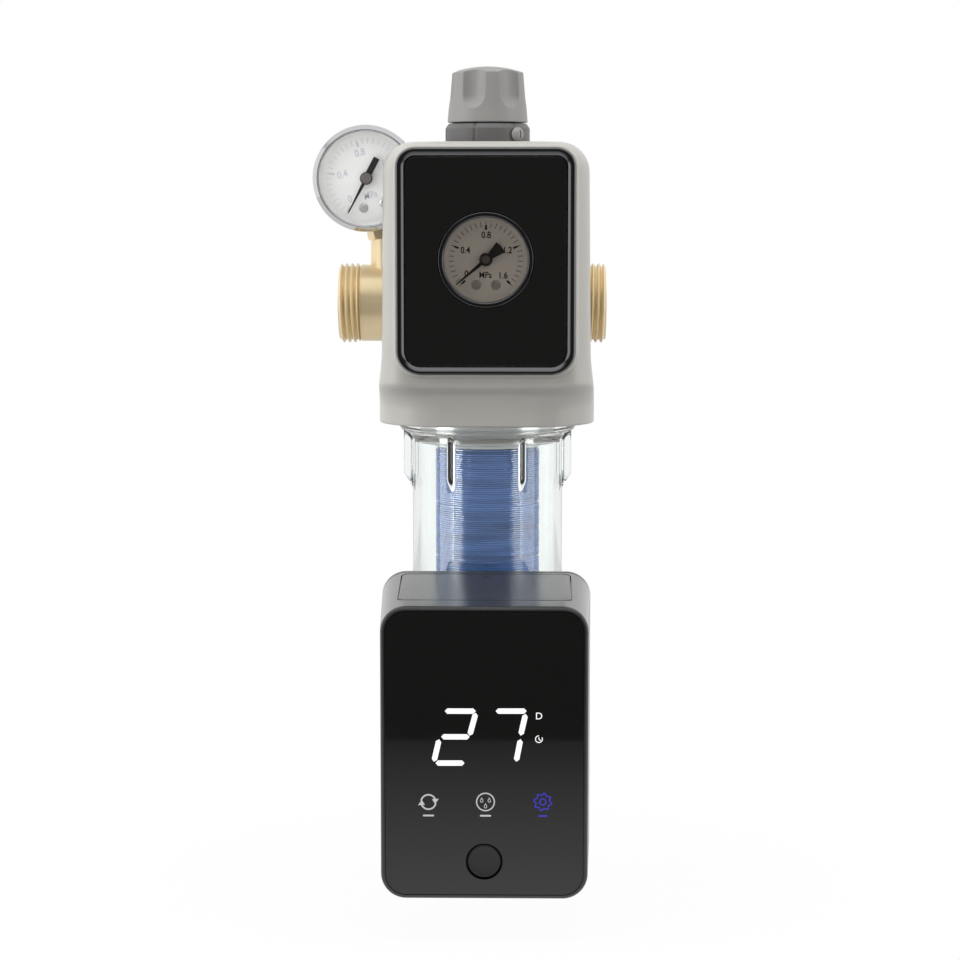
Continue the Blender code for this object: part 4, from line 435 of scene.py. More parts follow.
def surface_group(texture: Texture) -> bpy.types.NodeTree:
    """The group for a texture, made once.

    Its inputs are Scale, in cycles to a metre, and Stretch, how many times finer it is along
    each axis. Its outputs are Height, for a bump, and Shade and Wear, masks of 0 to 1.
    """
    found = bpy.data.node_groups.get(texture.value)
    if found:
        return found
    made, tree, source, out = group(
        texture.value, {"Scale": 1000.0, "Stretch": (1.0, 1.0, 1.0)}, ("Height", "Shade", "Wear"))
    place = tree.add("TexCoord").outputs["Object"]
    scale = source.outputs["Scale"]
    stretched = tree.add("VectorMath", {0: place, 1: source.outputs["Stretch"]},
                         operation="MULTIPLY").outputs[0]
    fine = tree.add("TexNoise", {"Vector": stretched, "Scale": scale, "Detail": 3.0,
                                 "Roughness": 0.6}).outputs["Fac"]
    broad_scale = tree.math("MULTIPLY", scale, 0.3 if texture is Texture.BRUSHED else 0.012)
    broad = tree.add("TexNoise", {"Vector": stretched, "Scale": broad_scale, "Detail": 4.0}).outputs["Fac"]
    shade = tree.add("MapRange", {"Value": broad, "From Min": 0.3, "From Max": 0.7}).outputs["Result"]
    if texture is Texture.CAST:
        cells = tree.add("TexVoronoi", {"Vector": place, "Scale": scale}).outputs["Distance"]
        fine = tree.math("ADD", fine, cells)
    wear_low, wear_high = (0.48, 0.62) if texture is Texture.SMUDGED else (0.55, 0.8)
    spots = tree.add("TexNoise", {"Vector": place, "Scale": 90.0, "Detail": 6.0,
                                  "Roughness": 0.65}).outputs["Fac"]
    wear = tree.add("MapRange", {"Value": spots, "From Min": wear_low,
                                 "From Max": wear_high}).outputs["Result"]
    for key, value in (("Height", fine), ("Shade", shade), ("Wear", wear)):
        made.links.new(value, out.inputs[key])
    return made


def linear(colour: tuple, factor: float = 1.0) -> tuple:
    """An sRGB colour of 0 to 255 as the linear RGBA that a shader reads, times a factor."""
    parts = np.array(colour) / 255.0
    values = np.where(parts <= 0.04045, parts / 12.92, ((parts + 0.055) / 1.055) ** 2.4) * factor
    return (*np.clip(values, 0.0, 1.0).tolist(), 1.0)


# Finishes


@dataclass(frozen=True)
class Finish:
    """An opaque finish: plastic, paint, rubber or metal."""

    name: str
    slot: str
    colour: tuple
    roughness: float
    metallic: float = 0.0
    coat: float = 0.0
    coat_roughness: float = 0.05
    specular: float = 0.5
    ior: float = 1.5
    texture: Texture = Texture.GRAIN
    scale: float = 2600.0
    stretch: tuple = (1.0, 1.0, 1.0)
    bump: float = 0.01
    bump_strength: float = 0.35
    variation: float = 0.05
    roughness_change: float = 0.06

    def material(self) -> bpy.types.Material:
        """The finish's material, made once."""
        found = bpy.data.materials.get(self.name)
        if found:
            return found
        made = bpy.data.materials.new(self.name)
        made.use_nodes = True
        tree = Tree(made.node_tree)
        shader = made.node_tree.nodes["Principled BSDF"]
        surface = tree.add("Group", node_tree=surface_group(self.texture))
        surface.inputs["Scale"].default_value = self.scale
        surface.inputs["Stretch"].default_value = self.stretch
        colour = tree.add("Mix", {
            0: surface.outputs["Shade"], 6: linear(self.colour, 1.0 - self.variation),
            7: linear(self.colour, 1.0 + self.variation),
        }, data_type="RGBA").outputs[2]
        rough = tree.add("MapRange", {
            "Value": surface.outputs["Wear"], "To Min": self.roughness,
            "To Max": self.roughness + self.roughness_change,
        }).outputs["Result"]
        bump = tree.add("Bump", {
            "Strength": self.bump_strength, "Distance": self.bump * MM, "Height": surface.outputs["Height"],
        }).outputs["Normal"]
        for key, value in (("Base Color", colour), ("Roughness", rough), ("Normal", bump)):
            made.node_tree.links.new(value, shader.inputs[key])
        shader.inputs["Metallic"].default_value = self.metallic
        shader.inputs["Coat Weight"].default_value = self.coat
        shader.inputs["Coat Roughness"].default_value = self.coat_roughness
        shader.inputs["Specular IOR Level"].default_value = self.specular
        shader.inputs["IOR"].default_value = self.ior
        return made


@dataclass(frozen=True)
class Clear:
    """A clear finish: moulded clear plastic or a gauge's glass."""

    name: str
    slot: str
    colour: tuple
    roughness: float = 0.02
    ior: float = 1.49
    bump: float = 0.004
    scale: float = 160.0

    def material(self) -> bpy.types.Material:
        """The finish's material, made once, with the slow waves of a moulded wall."""
        found = bpy.data.materials.get(self.name)
        if found:
            return found
        made = bpy.data.materials.new(self.name)
        made.use_nodes = True
        tree = Tree(made.node_tree)
        shader = made.node_tree.nodes["Principled BSDF"]
        surface = tree.add("Group", node_tree=surface_group(Texture.SMUDGED))
        surface.inputs["Scale"].default_value = self.scale
        bump = tree.add("Bump", {
            "Strength": 0.5, "Distance": self.bump * MM, "Height": surface.outputs["Height"],
        }).outputs["Normal"]
        made.node_tree.links.new(bump, shader.inputs["Normal"])
        shader.inputs["Base Color"].default_value = linear(self.colour)
        shader.inputs["Roughness"].default_value = self.roughness
        shader.inputs["IOR"].default_value = self.ior
        shader.inputs["Transmission Weight"].default_value = 1.0
        return made


@dataclass(frozen=True)
class Glow:
    """A lit mark behind the display's front."""

    name: str
    slot: str
    colour: tuple
    strength: float

    def material(self) -> bpy.types.Material:
        """The finish's material, made once, with a little unevenness in its light."""
        found = bpy.data.materials.get(self.name)
        if found:
            return found
        made = bpy.data.materials.new(self.name)
        made.use_nodes = True
        tree = Tree(made.node_tree)
        shader = made.node_tree.nodes["Principled BSDF"]
        surface = tree.add("Group", node_tree=surface_group(Texture.GRAIN))
        surface.inputs["Scale"].default_value = 300.0
        light = tree.add("Mix", {
            0: surface.outputs["Height"], 6: linear(self.colour, 0.9), 7: linear(self.colour),
        }, data_type="RGBA").outputs[2]
        made.node_tree.links.new(light, shader.inputs["Emission Color"])
        shader.inputs["Base Color"].default_value = (0.0, 0.0, 0.0, 1.0)
        shader.inputs["Roughness"].default_value = 0.3
        shader.inputs["Emission Strength"].default_value = self.strength
        return made


@dataclass(frozen=True)
class Finishes:
    """The finishes of the filter."""

    brass: Finish = Finish("machined brass", "brass", (253, 229, 186), 0.28, 0.5, texture=Texture.TURNED,
                           scale=900.0, stretch=(6.0, 0.4, 0.4), bump=0.012, variation=0.07,
                           roughness_change=0.1)
    cast_brass: Finish = Finish("cast brass", "brass", (246, 216, 164), 0.38, 0.5, texture=Texture.CAST,
                                scale=1400.0, bump=0.03, variation=0.1, roughness_change=0.12)
    nickel: Finish = Finish("plated neck", "steel", (222, 222, 220), 0.3, 0.5, texture=Texture.TURNED,
                            scale=900.0, stretch=(0.4, 0.4, 6.0), bump=0.006, variation=0.04)
    steel: Finish = Finish("turned steel", "steel", (188, 188, 190), 0.26, 1.0, texture=Texture.BRUSHED,
                           scale=700.0, stretch=(1.0, 6.0, 1.0), bump=0.008, variation=0.08)
    chrome: Finish = Finish("polished chrome", "chrome", (222, 223, 225), 0.05, 1.0, texture=Texture.SMUDGED,
                            scale=500.0, bump=0.002, bump_strength=0.2, variation=0.02, roughness_change=0.05)
    smoked_chrome: Finish = Finish("smoked chrome", "chrome", (124, 124, 126), 0.1, 1.0,
                                   texture=Texture.SMUDGED, scale=500.0, bump=0.002, bump_strength=0.2,
                                   variation=0.03, roughness_change=0.05)
    black_chrome: Finish = Finish("black chrome", "chrome", (112, 112, 114), 0.12, 1.0,
                                  texture=Texture.SMUDGED, scale=500.0, bump=0.002, bump_strength=0.2,
                                  variation=0.03, roughness_change=0.05)
    housing: Finish = Finish("housing grey", "housing_grey", (192, 190, 184), 0.34, coat=0.25,
                             coat_roughness=0.16, scale=3200.0, bump=0.006, variation=0.025)
    knob: Finish = Finish("knob grey", "knob_grey", (151, 150, 148), 0.42, scale=2600.0, bump=0.01,
                          variation=0.03)
    bonnet: Finish = Finish("bonnet grey", "bonnet_grey", (104, 103, 103), 0.44, scale=2200.0, bump=0.014,
                            variation=0.05)
    panel: Finish = Finish("black panel", "gloss_black", (22, 21, 20), 0.05, coat=1.0, coat_roughness=0.02,
                           texture=Texture.SMUDGED, scale=300.0, bump=0.001, bump_strength=0.1,
                           variation=0.05, roughness_change=0.03)
    case: Finish = Finish("case black", "case_black", (44, 44, 45), 0.28, coat=0.85, coat_roughness=0.2,
                          texture=Texture.BRUSHED, scale=500.0, stretch=(5.0, 0.5, 0.5), bump=0.004,
                          variation=0.12, roughness_change=0.08)
    button: Finish = Finish("button black", "case_black", (50, 50, 52), 0.36, texture=Texture.BRUSHED,
                            scale=600.0, stretch=(1.0, 1.0, 5.0), bump=0.004, variation=0.06)
    bowl: Clear = Clear("clear bowl", "clear_plastic", (250, 253, 252), 0.015)
    window: Clear = Clear("gauge window", "gauge_glass", (255, 255, 255), 0.01, 1.3, bump=0.001)
    smoked: Clear = Clear("smoked window", "gauge_glass", (184, 179, 173), 0.01, 1.4, bump=0.001)
    dial: Finish = Finish("dial white", "dial_white", (250, 250, 248), 0.5, scale=1500.0, bump=0.004,
                          variation=0.02)
    ink: Finish = Finish("printed ink", "needle_black", (24, 24, 26), 0.55, scale=4000.0, bump=0.003,
                         variation=0.15)
    pale_ink: Finish = Finish("pale ink", "needle_black", (216, 220, 226), 0.55, scale=4000.0, bump=0.003,
                              variation=0.1)
    needle: Finish = Finish("needle black", "needle_black", (20, 20, 20), 0.35, scale=2500.0, bump=0.004,
                            variation=0.1)
    discs: Finish = Finish("filter blue", "filter_blue", (78, 118, 184), 0.16, ior=3.2,
                           texture=Texture.BRUSHED, scale=420.0, stretch=(0.2, 0.2, 4.0), bump=0.01,
                           variation=0.3, roughness_change=0.06)
    pale: Finish = Finish("pale plastic", "pale_plastic", (224, 227, 228), 0.36, scale=2400.0, bump=0.008,
                          variation=0.02)
    rubber: Finish = Finish("black rubber", "rubber_black", (28, 28, 28), 0.7, scale=3000.0, bump=0.02,
                            variation=0.1)
    board: Finish = Finish("board green", "board_green", (32, 82, 58), 0.42, texture=Texture.CAST,
                           scale=500.0, bump=0.02, variation=0.12)
    hub: Finish = Finish("hub grey", "needle_black", (120, 114, 114), 0.4, 0.3, scale=2500.0, bump=0.004,
                         variation=0.06)
    cell: Finish = Finish("cell wrap", "cell_wrap", (60, 74, 92), 0.3, coat=0.5, scale=1500.0, bump=0.004,
                          variation=0.05)
    digit: Glow = Glow("lit white", "needle_black", (255, 255, 255), 1.15)
    dim: Glow = Glow("dim white", "needle_black", (196, 198, 202), 1.0)
    violet: Glow = Glow("lit violet", "needle_black", (64, 58, 190), 1.0)


FINISHES = Finishes()


# Pieces


def dress(name: str, mesh: bpy.types.Mesh, finish: Finish | Clear | Glow, body: str = ROOT,
          stands_for: tuple = (), smooth_below: float = SMOOTH_BELOW,
          weighted: bool = False) -> bpy.types.Object:
    """Make a piece of a mesh, dress it and let it ride on its body.

    Args:
        name: The piece's name.
        mesh: Its mesh, in metres, with its place in the mesh.
        finish: Its finish.
        body: The CAD body that it moves with, or none for a piece that bends between two.
        stands_for: The CAD nodes that it replaces.
        smooth_below: The angle between faces, in degrees, up to which they shade as one.
        weighted: Whether large flat faces keep their own normals.

    Returns:
        The piece.
    """
    mesh.shade_smooth()
    mesh.set_sharp_from_angle(angle=math.radians(smooth_below))
    mesh.materials.clear()
    mesh.materials.append(finish.material())
    piece = bpy.data.objects.new(name, mesh)
    bpy.context.scene.collection.objects.link(piece)
    if weighted:
        modifier = piece.modifiers.new("flat faces", "WEIGHTED_NORMAL")
        modifier.keep_sharp = True
    if body:
        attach(piece, body)
    if stands_for:
        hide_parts(*stands_for)
    LOG.info("%s: %d faces, rides on %s", name, len(mesh.polygons), body)
    return piece


def made(name: str, shape: Shape, finish: Finish | Clear | Glow, body: str = ROOT, stands_for: tuple = (),
         smooth_below: float = SMOOTH_BELOW) -> bpy.types.Object:
    """Make and dress a piece straight from a shape."""
    return dress(name, plain_mesh(name, shape), finish, body, stands_for, smooth_below)


def refined(node: str, finish: Finish | Clear, bevel: float = 0.0, rides: bool = True) -> bpy.types.Object:
    """Stand a merged, smoothly shaded copy of a CAD node in its place, with a fine bevel if one is given."""
    source = frame["nodes"][node]
    work = bmesh.new()
    work.from_mesh(source.data)
    bmesh.ops.remove_doubles(work, verts=work.verts, dist=TOUCH)
    bmesh.ops.dissolve_limit(work, angle_limit=math.radians(0.5), verts=work.verts, edges=work.edges)
    mesh = bpy.data.meshes.new(node + "_fine")
    work.to_mesh(mesh)
    work.free()
    piece = dress(node + "_fine", mesh, finish, source["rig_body"] if rides else "", (node,), 40.0)
    if bevel:
        modifier = piece.modifiers.new("bevel", "BEVEL")
        modifier.width = bevel * MM
        modifier.segments = 2
        modifier.limit_method = "ANGLE"
        modifier.angle_limit = math.radians(50.0)
        modifier.harden_normals = True
    return piece


# Shapes that more than one sub-assembly uses


def shape_of(mesh: bpy.types.Mesh) -> Shape:
    """The points, in millimetres, and the faces of a mesh, which is then removed."""
    points = np.zeros(3 * len(mesh.vertices), np.float32)
    mesh.vertices.foreach_get("co", points)
    faces = [list(polygon.vertices) for polygon in mesh.polygons]
    bpy.data.meshes.remove(mesh)
    return Shape(points.reshape(-1, 3).astype(float) / MM, faces)


def solid(base: Shape, *steps: tuple) -> Shape:
    """The shape left after a row of joins and cuts, each a pair of an operation and a shape."""
    return shape_of(carved("solid", base, *steps))


def resampled(profile: np.ndarray, step: float) -> np.ndarray:
    """A closed profile with points added along its edges, no further apart than a step.

    The length walked along the profile is the parameter, and each new point lies on its edge.
    """
    loop = np.concatenate([profile, profile[:1]])
    walked = np.concatenate([[0.0], np.cumsum(np.linalg.norm(np.diff(loop, axis=0), axis=1))])
    extra = np.arange(0.0, walked[-1], step)
    places = np.unique(np.concatenate([walked[:-1], extra]).round(5))
    places = places[places < walked[-1] - 1e-4]
    return np.stack([np.interp(places, walked, loop[:, 0]), np.interp(places, walked, loop[:, 1])], axis=-1)


def smooth(share: np.ndarray) -> np.ndarray:
    """The eased step 3 s s - 2 s s s of a share held between 0 and 1."""
    held = np.clip(share, 0.0, 1.0)
    return held * held * (3.0 - 2.0 * held)


def pan_screw(place: Matrix, head_r: float, head: float, shank_r: float, length: float) -> Shape:
    """A pan head screw with a cross recess; its head rises along Z from the place's origin."""
    profile = [
        (0.0, -length, 0.0), (shank_r, -length, 0.5), (shank_r, 0.0, 0.1), (head_r, 0.0, 0.15),
        (head_r, 0.5 * head, 0.6), (0.62 * head_r, head, 0.9), (0.0, head, 0.0),
    ]
    body = turned(eased(profile), steps=40)
    arm = 0.55 * head_r
    width = 0.13 * head_r
    cross = (("DIFFERENCE", box_shape((-arm, arm), (-width, width), (0.45 * head, head + 1.0))),
             ("DIFFERENCE", box_shape((-width, width), (-arm, arm), (0.45 * head, head + 1.0))))
    return solid(body, *cross).placed(place)


# Sub-assemblies


@dataclass
class Head:
    """The brass head: the pipe barrel and its threads, the column, the flange, the neck and the riser."""

    inlet_end: float = -62.0
    outlet_end: float = 49.5
    inlet_thread: float = 9.0
    outlet_thread: float = 8.0
    core_r: float = 15.2
    crest_r: float = 16.62
    groove_r: float = 15.16
    pitch: float = 2.309
    barrel_r: float = 16.0
    waist_r: float = 18.0
    bore_r: float = 12.2
    column_r: float = 20.0
    column_top: float = 40.0
    column_bore_r: float = 13.0
    flange_r: float = 38.0
    flange_low: float = -45.7
    neck_r: float = 28.3
    neck_bore_r: float = 24.5
    neck_low: float = -58.0
    riser_x: float = -41.0
    riser_r: float = 8.0
    riser_face: float = 25.6
    port_y: float = -24.0
    port_z: float = 19.35

    def thread(self, open_end: float, inner_end: float) -> Shape:
        """A thread's sleeve round the core, from its open end to its inner end along X.

        The radius is groove + (crest - groove) wave fade, where wave is (1 + cos(turn)) / 2 to the
        power 0.8, turn is the height over the pitch less the angle, and fade eases both ends out.
        """
        height = np.linspace(open_end, inner_end, 84)
        angle = np.linspace(0.0, math.tau, 144, endpoint=False)
        turn = math.tau * np.abs(height - open_end)[:, None] / self.pitch - angle[None, :]
        wave = ((1.0 + np.cos(turn)) / 2.0) ** 0.8
        fade = smooth(np.abs(height - open_end) / 0.9) * smooth(np.abs(height - inner_end) / 0.9)
        radius = self.groove_r + (self.crest_r - self.groove_r) * wave * fade[:, None]
        inner = np.full((1, len(angle)), self.core_r - 0.5)
        radius = np.concatenate([inner, radius, inner])
        along = np.concatenate([height[:1], height, height[-1:]])[:, None]
        points = np.stack([np.broadcast_to(along, radius.shape), radius * np.cos(angle),
                           radius * np.sin(angle)], axis=-1)
        return grid(points, closed_rows=True)

    def barrel(self) -> Shape:
        """The pipe barrel as a solid, with rounded steps at both threads."""
        shoulder = self.inlet_end + self.inlet_thread
        outer = self.outlet_end - self.outlet_thread
        return turned(eased([
            (0.0, self.inlet_end, 0.0), (self.core_r - 0.5, self.inlet_end, 0.3),
            (self.core_r, self.inlet_end + 0.6, 0.3), (self.core_r, shoulder, 0.2),
            (self.barrel_r, shoulder, 0.5), (self.barrel_r, self.riser_x, 3.0),
            (self.waist_r, self.riser_x + 6.0, 3.0), (self.waist_r, -self.riser_x - 6.0, 3.0), (self.barrel_r, -self.riser_x, 3.0),
            (self.barrel_r, outer, 0.5), (self.core_r, outer, 0.2), (self.core_r, self.outlet_end - 0.6, 0.3),
            (self.core_r - 0.5, self.outlet_end, 0.3), (0.0, self.outlet_end, 0.0),
        ]), Along.X)

    def casting(self, tilt: Matrix) -> Shape:
        """The casting with its bores and ports, down to the neck.

        Args:
            tilt: The place of the inlet gauge's frame, which the riser's face is square to.

        Returns:
            The casting.
        """
        column = turned(eased([
            (0.0, self.column_top, 0.0), (self.column_r, self.column_top, 0.8),
            (self.column_r, self.barrel_r, 3.0),
            (30.0, -6.0, 3.0), (30.0, -36.0, 3.0), (self.flange_r, -38.0, 0.8),
            (self.flange_r, self.flange_low, 0.8), (0.0, self.flange_low, 0.0),
        ]))
        reach = 1.9 * self.riser_r
        above = box_shape((-reach, reach), (-reach, reach), (-self.riser_face, -4.0)).placed(tilt)
        socket = rod(5.3, -self.riser_face - 8.0, -20.0).placed(tilt)
        upper = turned(np.array([
            (0.0, 41.0), (self.column_bore_r, 41.0), (self.column_bore_r, -10.0), (9.0, -10.0), (9.0, -16.0),
            (self.neck_bore_r, -16.0), (self.neck_bore_r, -47.0), (0.0, -47.0)]))
        return solid(
            column, ("UNION", self.barrel()),
            ("UNION", rod(8.5, self.port_y, -15.0, Along.Y).moved(z=self.port_z)),
            ("UNION", rod(self.riser_r, 8.0, 36.0).moved(x=self.riser_x)), ("DIFFERENCE", above),
            ("DIFFERENCE", upper), ("DIFFERENCE", rod(self.bore_r, self.inlet_end - 1.0, -16.8, Along.X)),
            ("DIFFERENCE", rod(self.bore_r, 10.4, self.outlet_end + 1.0, Along.X)), ("DIFFERENCE", socket),
            ("DIFFERENCE", rod(4.8, -17.0, -4.9, steps=32).moved(x=-19.2)),
            ("DIFFERENCE", rod(1.8, 8.5, 20.5, steps=24).moved(x=self.riser_x)),
            ("DIFFERENCE", rod(5.3, self.port_y - 1.0, self.port_y + 8.0, Along.Y).moved(z=self.port_z)),
            ("DIFFERENCE", rod(1.8, self.port_y, -11.7, Along.Y, steps=24).moved(z=self.port_z)),
        )

    def build(self, tilt: Matrix) -> None:
        """Make the casting, both threads and the plated neck."""
        dress("head_casting", plain_mesh("head_casting", self.casting(tilt)), FINISHES.brass,
              stands_for=("head_body",), weighted=True)
        made("inlet_thread", self.thread(self.inlet_end + 0.05, self.inlet_end + self.inlet_thread),
             FINISHES.brass, smooth_below=60.0)
        made("outlet_thread", self.thread(self.outlet_end - 0.05, self.outlet_end - self.outlet_thread),
             FINISHES.brass, smooth_below=60.0)
        neck = turned(eased([
            (self.neck_bore_r, self.flange_low + 0.4, 0.0), (self.neck_bore_r, self.neck_low, 0.5),
            (self.neck_r - 0.9, self.neck_low, 0.3), (self.neck_r, self.neck_low + 0.9, 0.3),
            (self.neck_r, -52.6, 0.1), (self.neck_r - 0.35, -52.4, 0.1), (self.neck_r - 0.35, -51.6, 0.1),
            (self.neck_r, -51.4, 0.1), (self.neck_r, self.flange_low + 0.4, 0.0),
        ]), steps=160)
        made("head_neck", neck, FINISHES.nickel, stands_for=("head_body",))


@dataclass
class Housing:
    """The two grey covers that close round the head."""

    top: float = 66.3
    bottom: float = -48.2
    wall: float = 2.2
    face_y: float = -52.0
    block_back: float = -16.0
    back_y: float = 42.5
    lower_top: float = 24.0
    top_half: float = 41.5
    waist_half: float = 42.4
    skirt_half: float = 44.3
    waist_z: float = -17.0
    skirt_z: float = -41.0
    face_bottom: float = -30.5
    setback: float = 3.6
    top_r: float = 12.0
    face_r: float = 2.3
    plan_r: float = 13.0
    skirt_r: float = 27.0
    hood_half: float = 27.0
    hood_back: float = 28.0
    hood_r: float = 8.0
    back_r: float = 12.0
    rear_step: float = 0.4
    split: float = 0.15
    posts: tuple = ((36.6, -27.0), (20.2, 55.0))

    def half_width(self, z: np.ndarray) -> np.ndarray:
        """Half the width at a height: a straight line above the waist, and an eased flare below it."""
        rise = (z - self.waist_z) / (self.top - self.waist_z)
        upper = self.waist_half + (self.top_half - self.waist_half) * rise
        flare = smooth((self.waist_z - z) / (self.waist_z - self.skirt_z))
        lower = self.waist_half + (self.skirt_half - self.waist_half) * flare
        return np.where(z > self.waist_z, upper, lower)

    def front_at(self, z: np.ndarray) -> np.ndarray:
        """The y of the front at a height: the face, and an eased step back below the panel."""
        return self.face_y + self.setback * smooth((self.face_bottom - z) / 6.0)

    @staticmethod
    def corner(z: np.ndarray, top: float, radius: float) -> np.ndarray:
        """How far a quarter round of a radius has drawn in at a height: r - sqrt(r r - rise rise)."""
        rise = np.clip(z - (top - radius), 0.0, radius)
        return radius - np.sqrt(radius * radius - rise * rise)

    def foot(self, z: np.ndarray, offset: float) -> np.ndarray:
        """How far the rounded lower edge draws in, over its last 0.8."""
        if offset:
            return np.zeros_like(z)
        return self.corner(-z, -self.bottom, 0.8)

    def form(self, offset: float) -> Shape:
        """The covers' outside, or the form of their inside, drawn in by an offset and open below.

        Args:
            offset: The wall that the form lies inside by, or 0 for the outside.

        Returns:
            The front block, the lower rear form and the hood, joined.
        """
        low = self.bottom - (1.0 if offset else 0.0)
        top = self.top - offset
        bend = self.top_r - offset
        foot = self.bottom + 0.8 * (1.0 - np.cos(np.linspace(0.0, math.pi / 2, 5)))
        rise = np.concatenate([[low] if offset else foot, np.arange(-46.0, -16.0, 1.0), [-10.0, 10.0, 40.0]])
        arc = top - bend + bend * np.sin(np.linspace(0.0, math.pi / 2, 22))
        z = np.concatenate([rise, arc])
        inset = self.corner(z, top, bend) + offset
        draw = self.foot(z, offset)
        half = self.half_width(z) - inset - draw
        front = self.front_at(z) + offset + draw + (0.0 if offset else self.corner(z, top, self.face_r))
        blend = smooth((self.face_bottom - z) / (self.face_bottom - self.skirt_z))
        plan = self.plan_r + (self.skirt_r - self.plan_r) * blend - offset
        back = self.block_back - offset
        block = lofted(rounded_loops((-half, half), (front, back), (plan, plan, 1.5, 1.5), 14), z)

        soft = 3.0 * (1.0 - np.cos(np.linspace(0.0, math.pi / 2, 6)))
        shelf = self.lower_top - offset - 3.0 * (1.0 - np.sin(np.linspace(0.0, math.pi / 2, 6)))
        z = np.concatenate([rise[rise < 15.0], shelf])
        shrink = np.concatenate([np.zeros(len(z) - 6), soft])
        half = self.half_width(z) - offset - shrink - self.rear_step - self.foot(z, offset)
        back = self.back_y - offset - shrink - self.foot(z, offset)
        start = self.block_back - 10.0
        lower = lofted(rounded_loops((-half, half), (start, back), (1.0, 1.0, self.back_r - offset,
                                                                    self.back_r - offset), 12), z)
        hood_top = top - self.rear_step
        half_bend = 0.5 * bend
        bend_heights = hood_top - half_bend + half_bend * np.sin(np.linspace(0.0, math.pi / 2, 12))
        z = np.concatenate([[0.0], bend_heights])
        inset = self.corner(z, hood_top, half_bend) + offset
        half = self.hood_half - inset
        hood = lofted(rounded_loops((-half, half), (start, self.hood_back - inset),
                                    (1.0, 1.0, self.hood_r - offset, self.hood_r - offset), 10), z)
        return solid(block, ("UNION", lower), ("UNION", hood))

    def holes(self) -> list:
        """The cuts for the pipe, the riser, the reducer's collar and the gauge."""
        return [
            ("DIFFERENCE", rod(17.2, -62.0, -33.6, Along.X)), ("DIFFERENCE", rod(17.2, 33.6, 60.0, Along.X)),
            ("DIFFERENCE", rod(8.6, 8.0, self.top).moved(x=-41.0)),
            ("DIFFERENCE", rod(18.2, 55.0, self.top + 1.0, steps=128)),
            ("DIFFERENCE",
             rod(19.7, self.face_y - 1.0, self.face_y + 9.0, Along.Y, steps=128).moved(z=19.35)),
        ]

    def screw_places(self) -> list:
        """X and Z of the four posts."""
        return [(side * x, z) for x, z in self.posts for side in (-1, 1)]

    def build(self) -> None:
        """Make both covers and the four screws behind them."""
        outside = self.form(0.0)
        inside = self.form(self.wall)
        wide = (-100.0, 100.0)
        halves = (("front_cover", (-100.0, -self.split)), ("rear_cover", (self.split, 100.0)))
        for name, depth in halves:
            steps = [("DIFFERENCE", inside), *self.holes(), ("INTERSECT", box_shape(wide, depth, wide))]
            for x, z in self.screw_places():
                upper = z > 0.0
                if name == "front_cover":
                    start = -49.0 if upper else -41.0
                    steps += [
                        ("UNION", rod(3.4, start, -self.split, Along.Y, steps=32).moved(x=x, z=z)),
                        ("DIFFERENCE", rod(1.8, -12.3, 1.0, Along.Y, steps=24).moved(x=x, z=z)),
                    ]
                else:
                    end = 25.0 if upper else 36.0
                    steps += [
                        ("UNION", rod(3.9, self.split, end, Along.Y, steps=32).moved(x=x, z=z)),
                        ("DIFFERENCE", rod(1.8, -1.0, 12.0, Along.Y, steps=24).moved(x=x, z=z)),
                        ("DIFFERENCE", rod(2.9, 12.0, 44.0, Along.Y, steps=32).moved(x=x, z=z)),
                    ]
            dress(name + "_shell", carved(name + "_shell", outside, *steps), FINISHES.housing,
                  stands_for=(name,), weighted=True)
        for index, (x, z) in enumerate(self.screw_places(), 1):
            place = Matrix.Translation((x, 12.3, z)) @ Along.Y.turn()
            made(f"rear_cover_screw_{index}_cross", pan_screw(place, 2.6, 2.0, 1.5, 23.7), FINISHES.steel,
                 stands_for=(f"rear_cover_screw_{index}",))


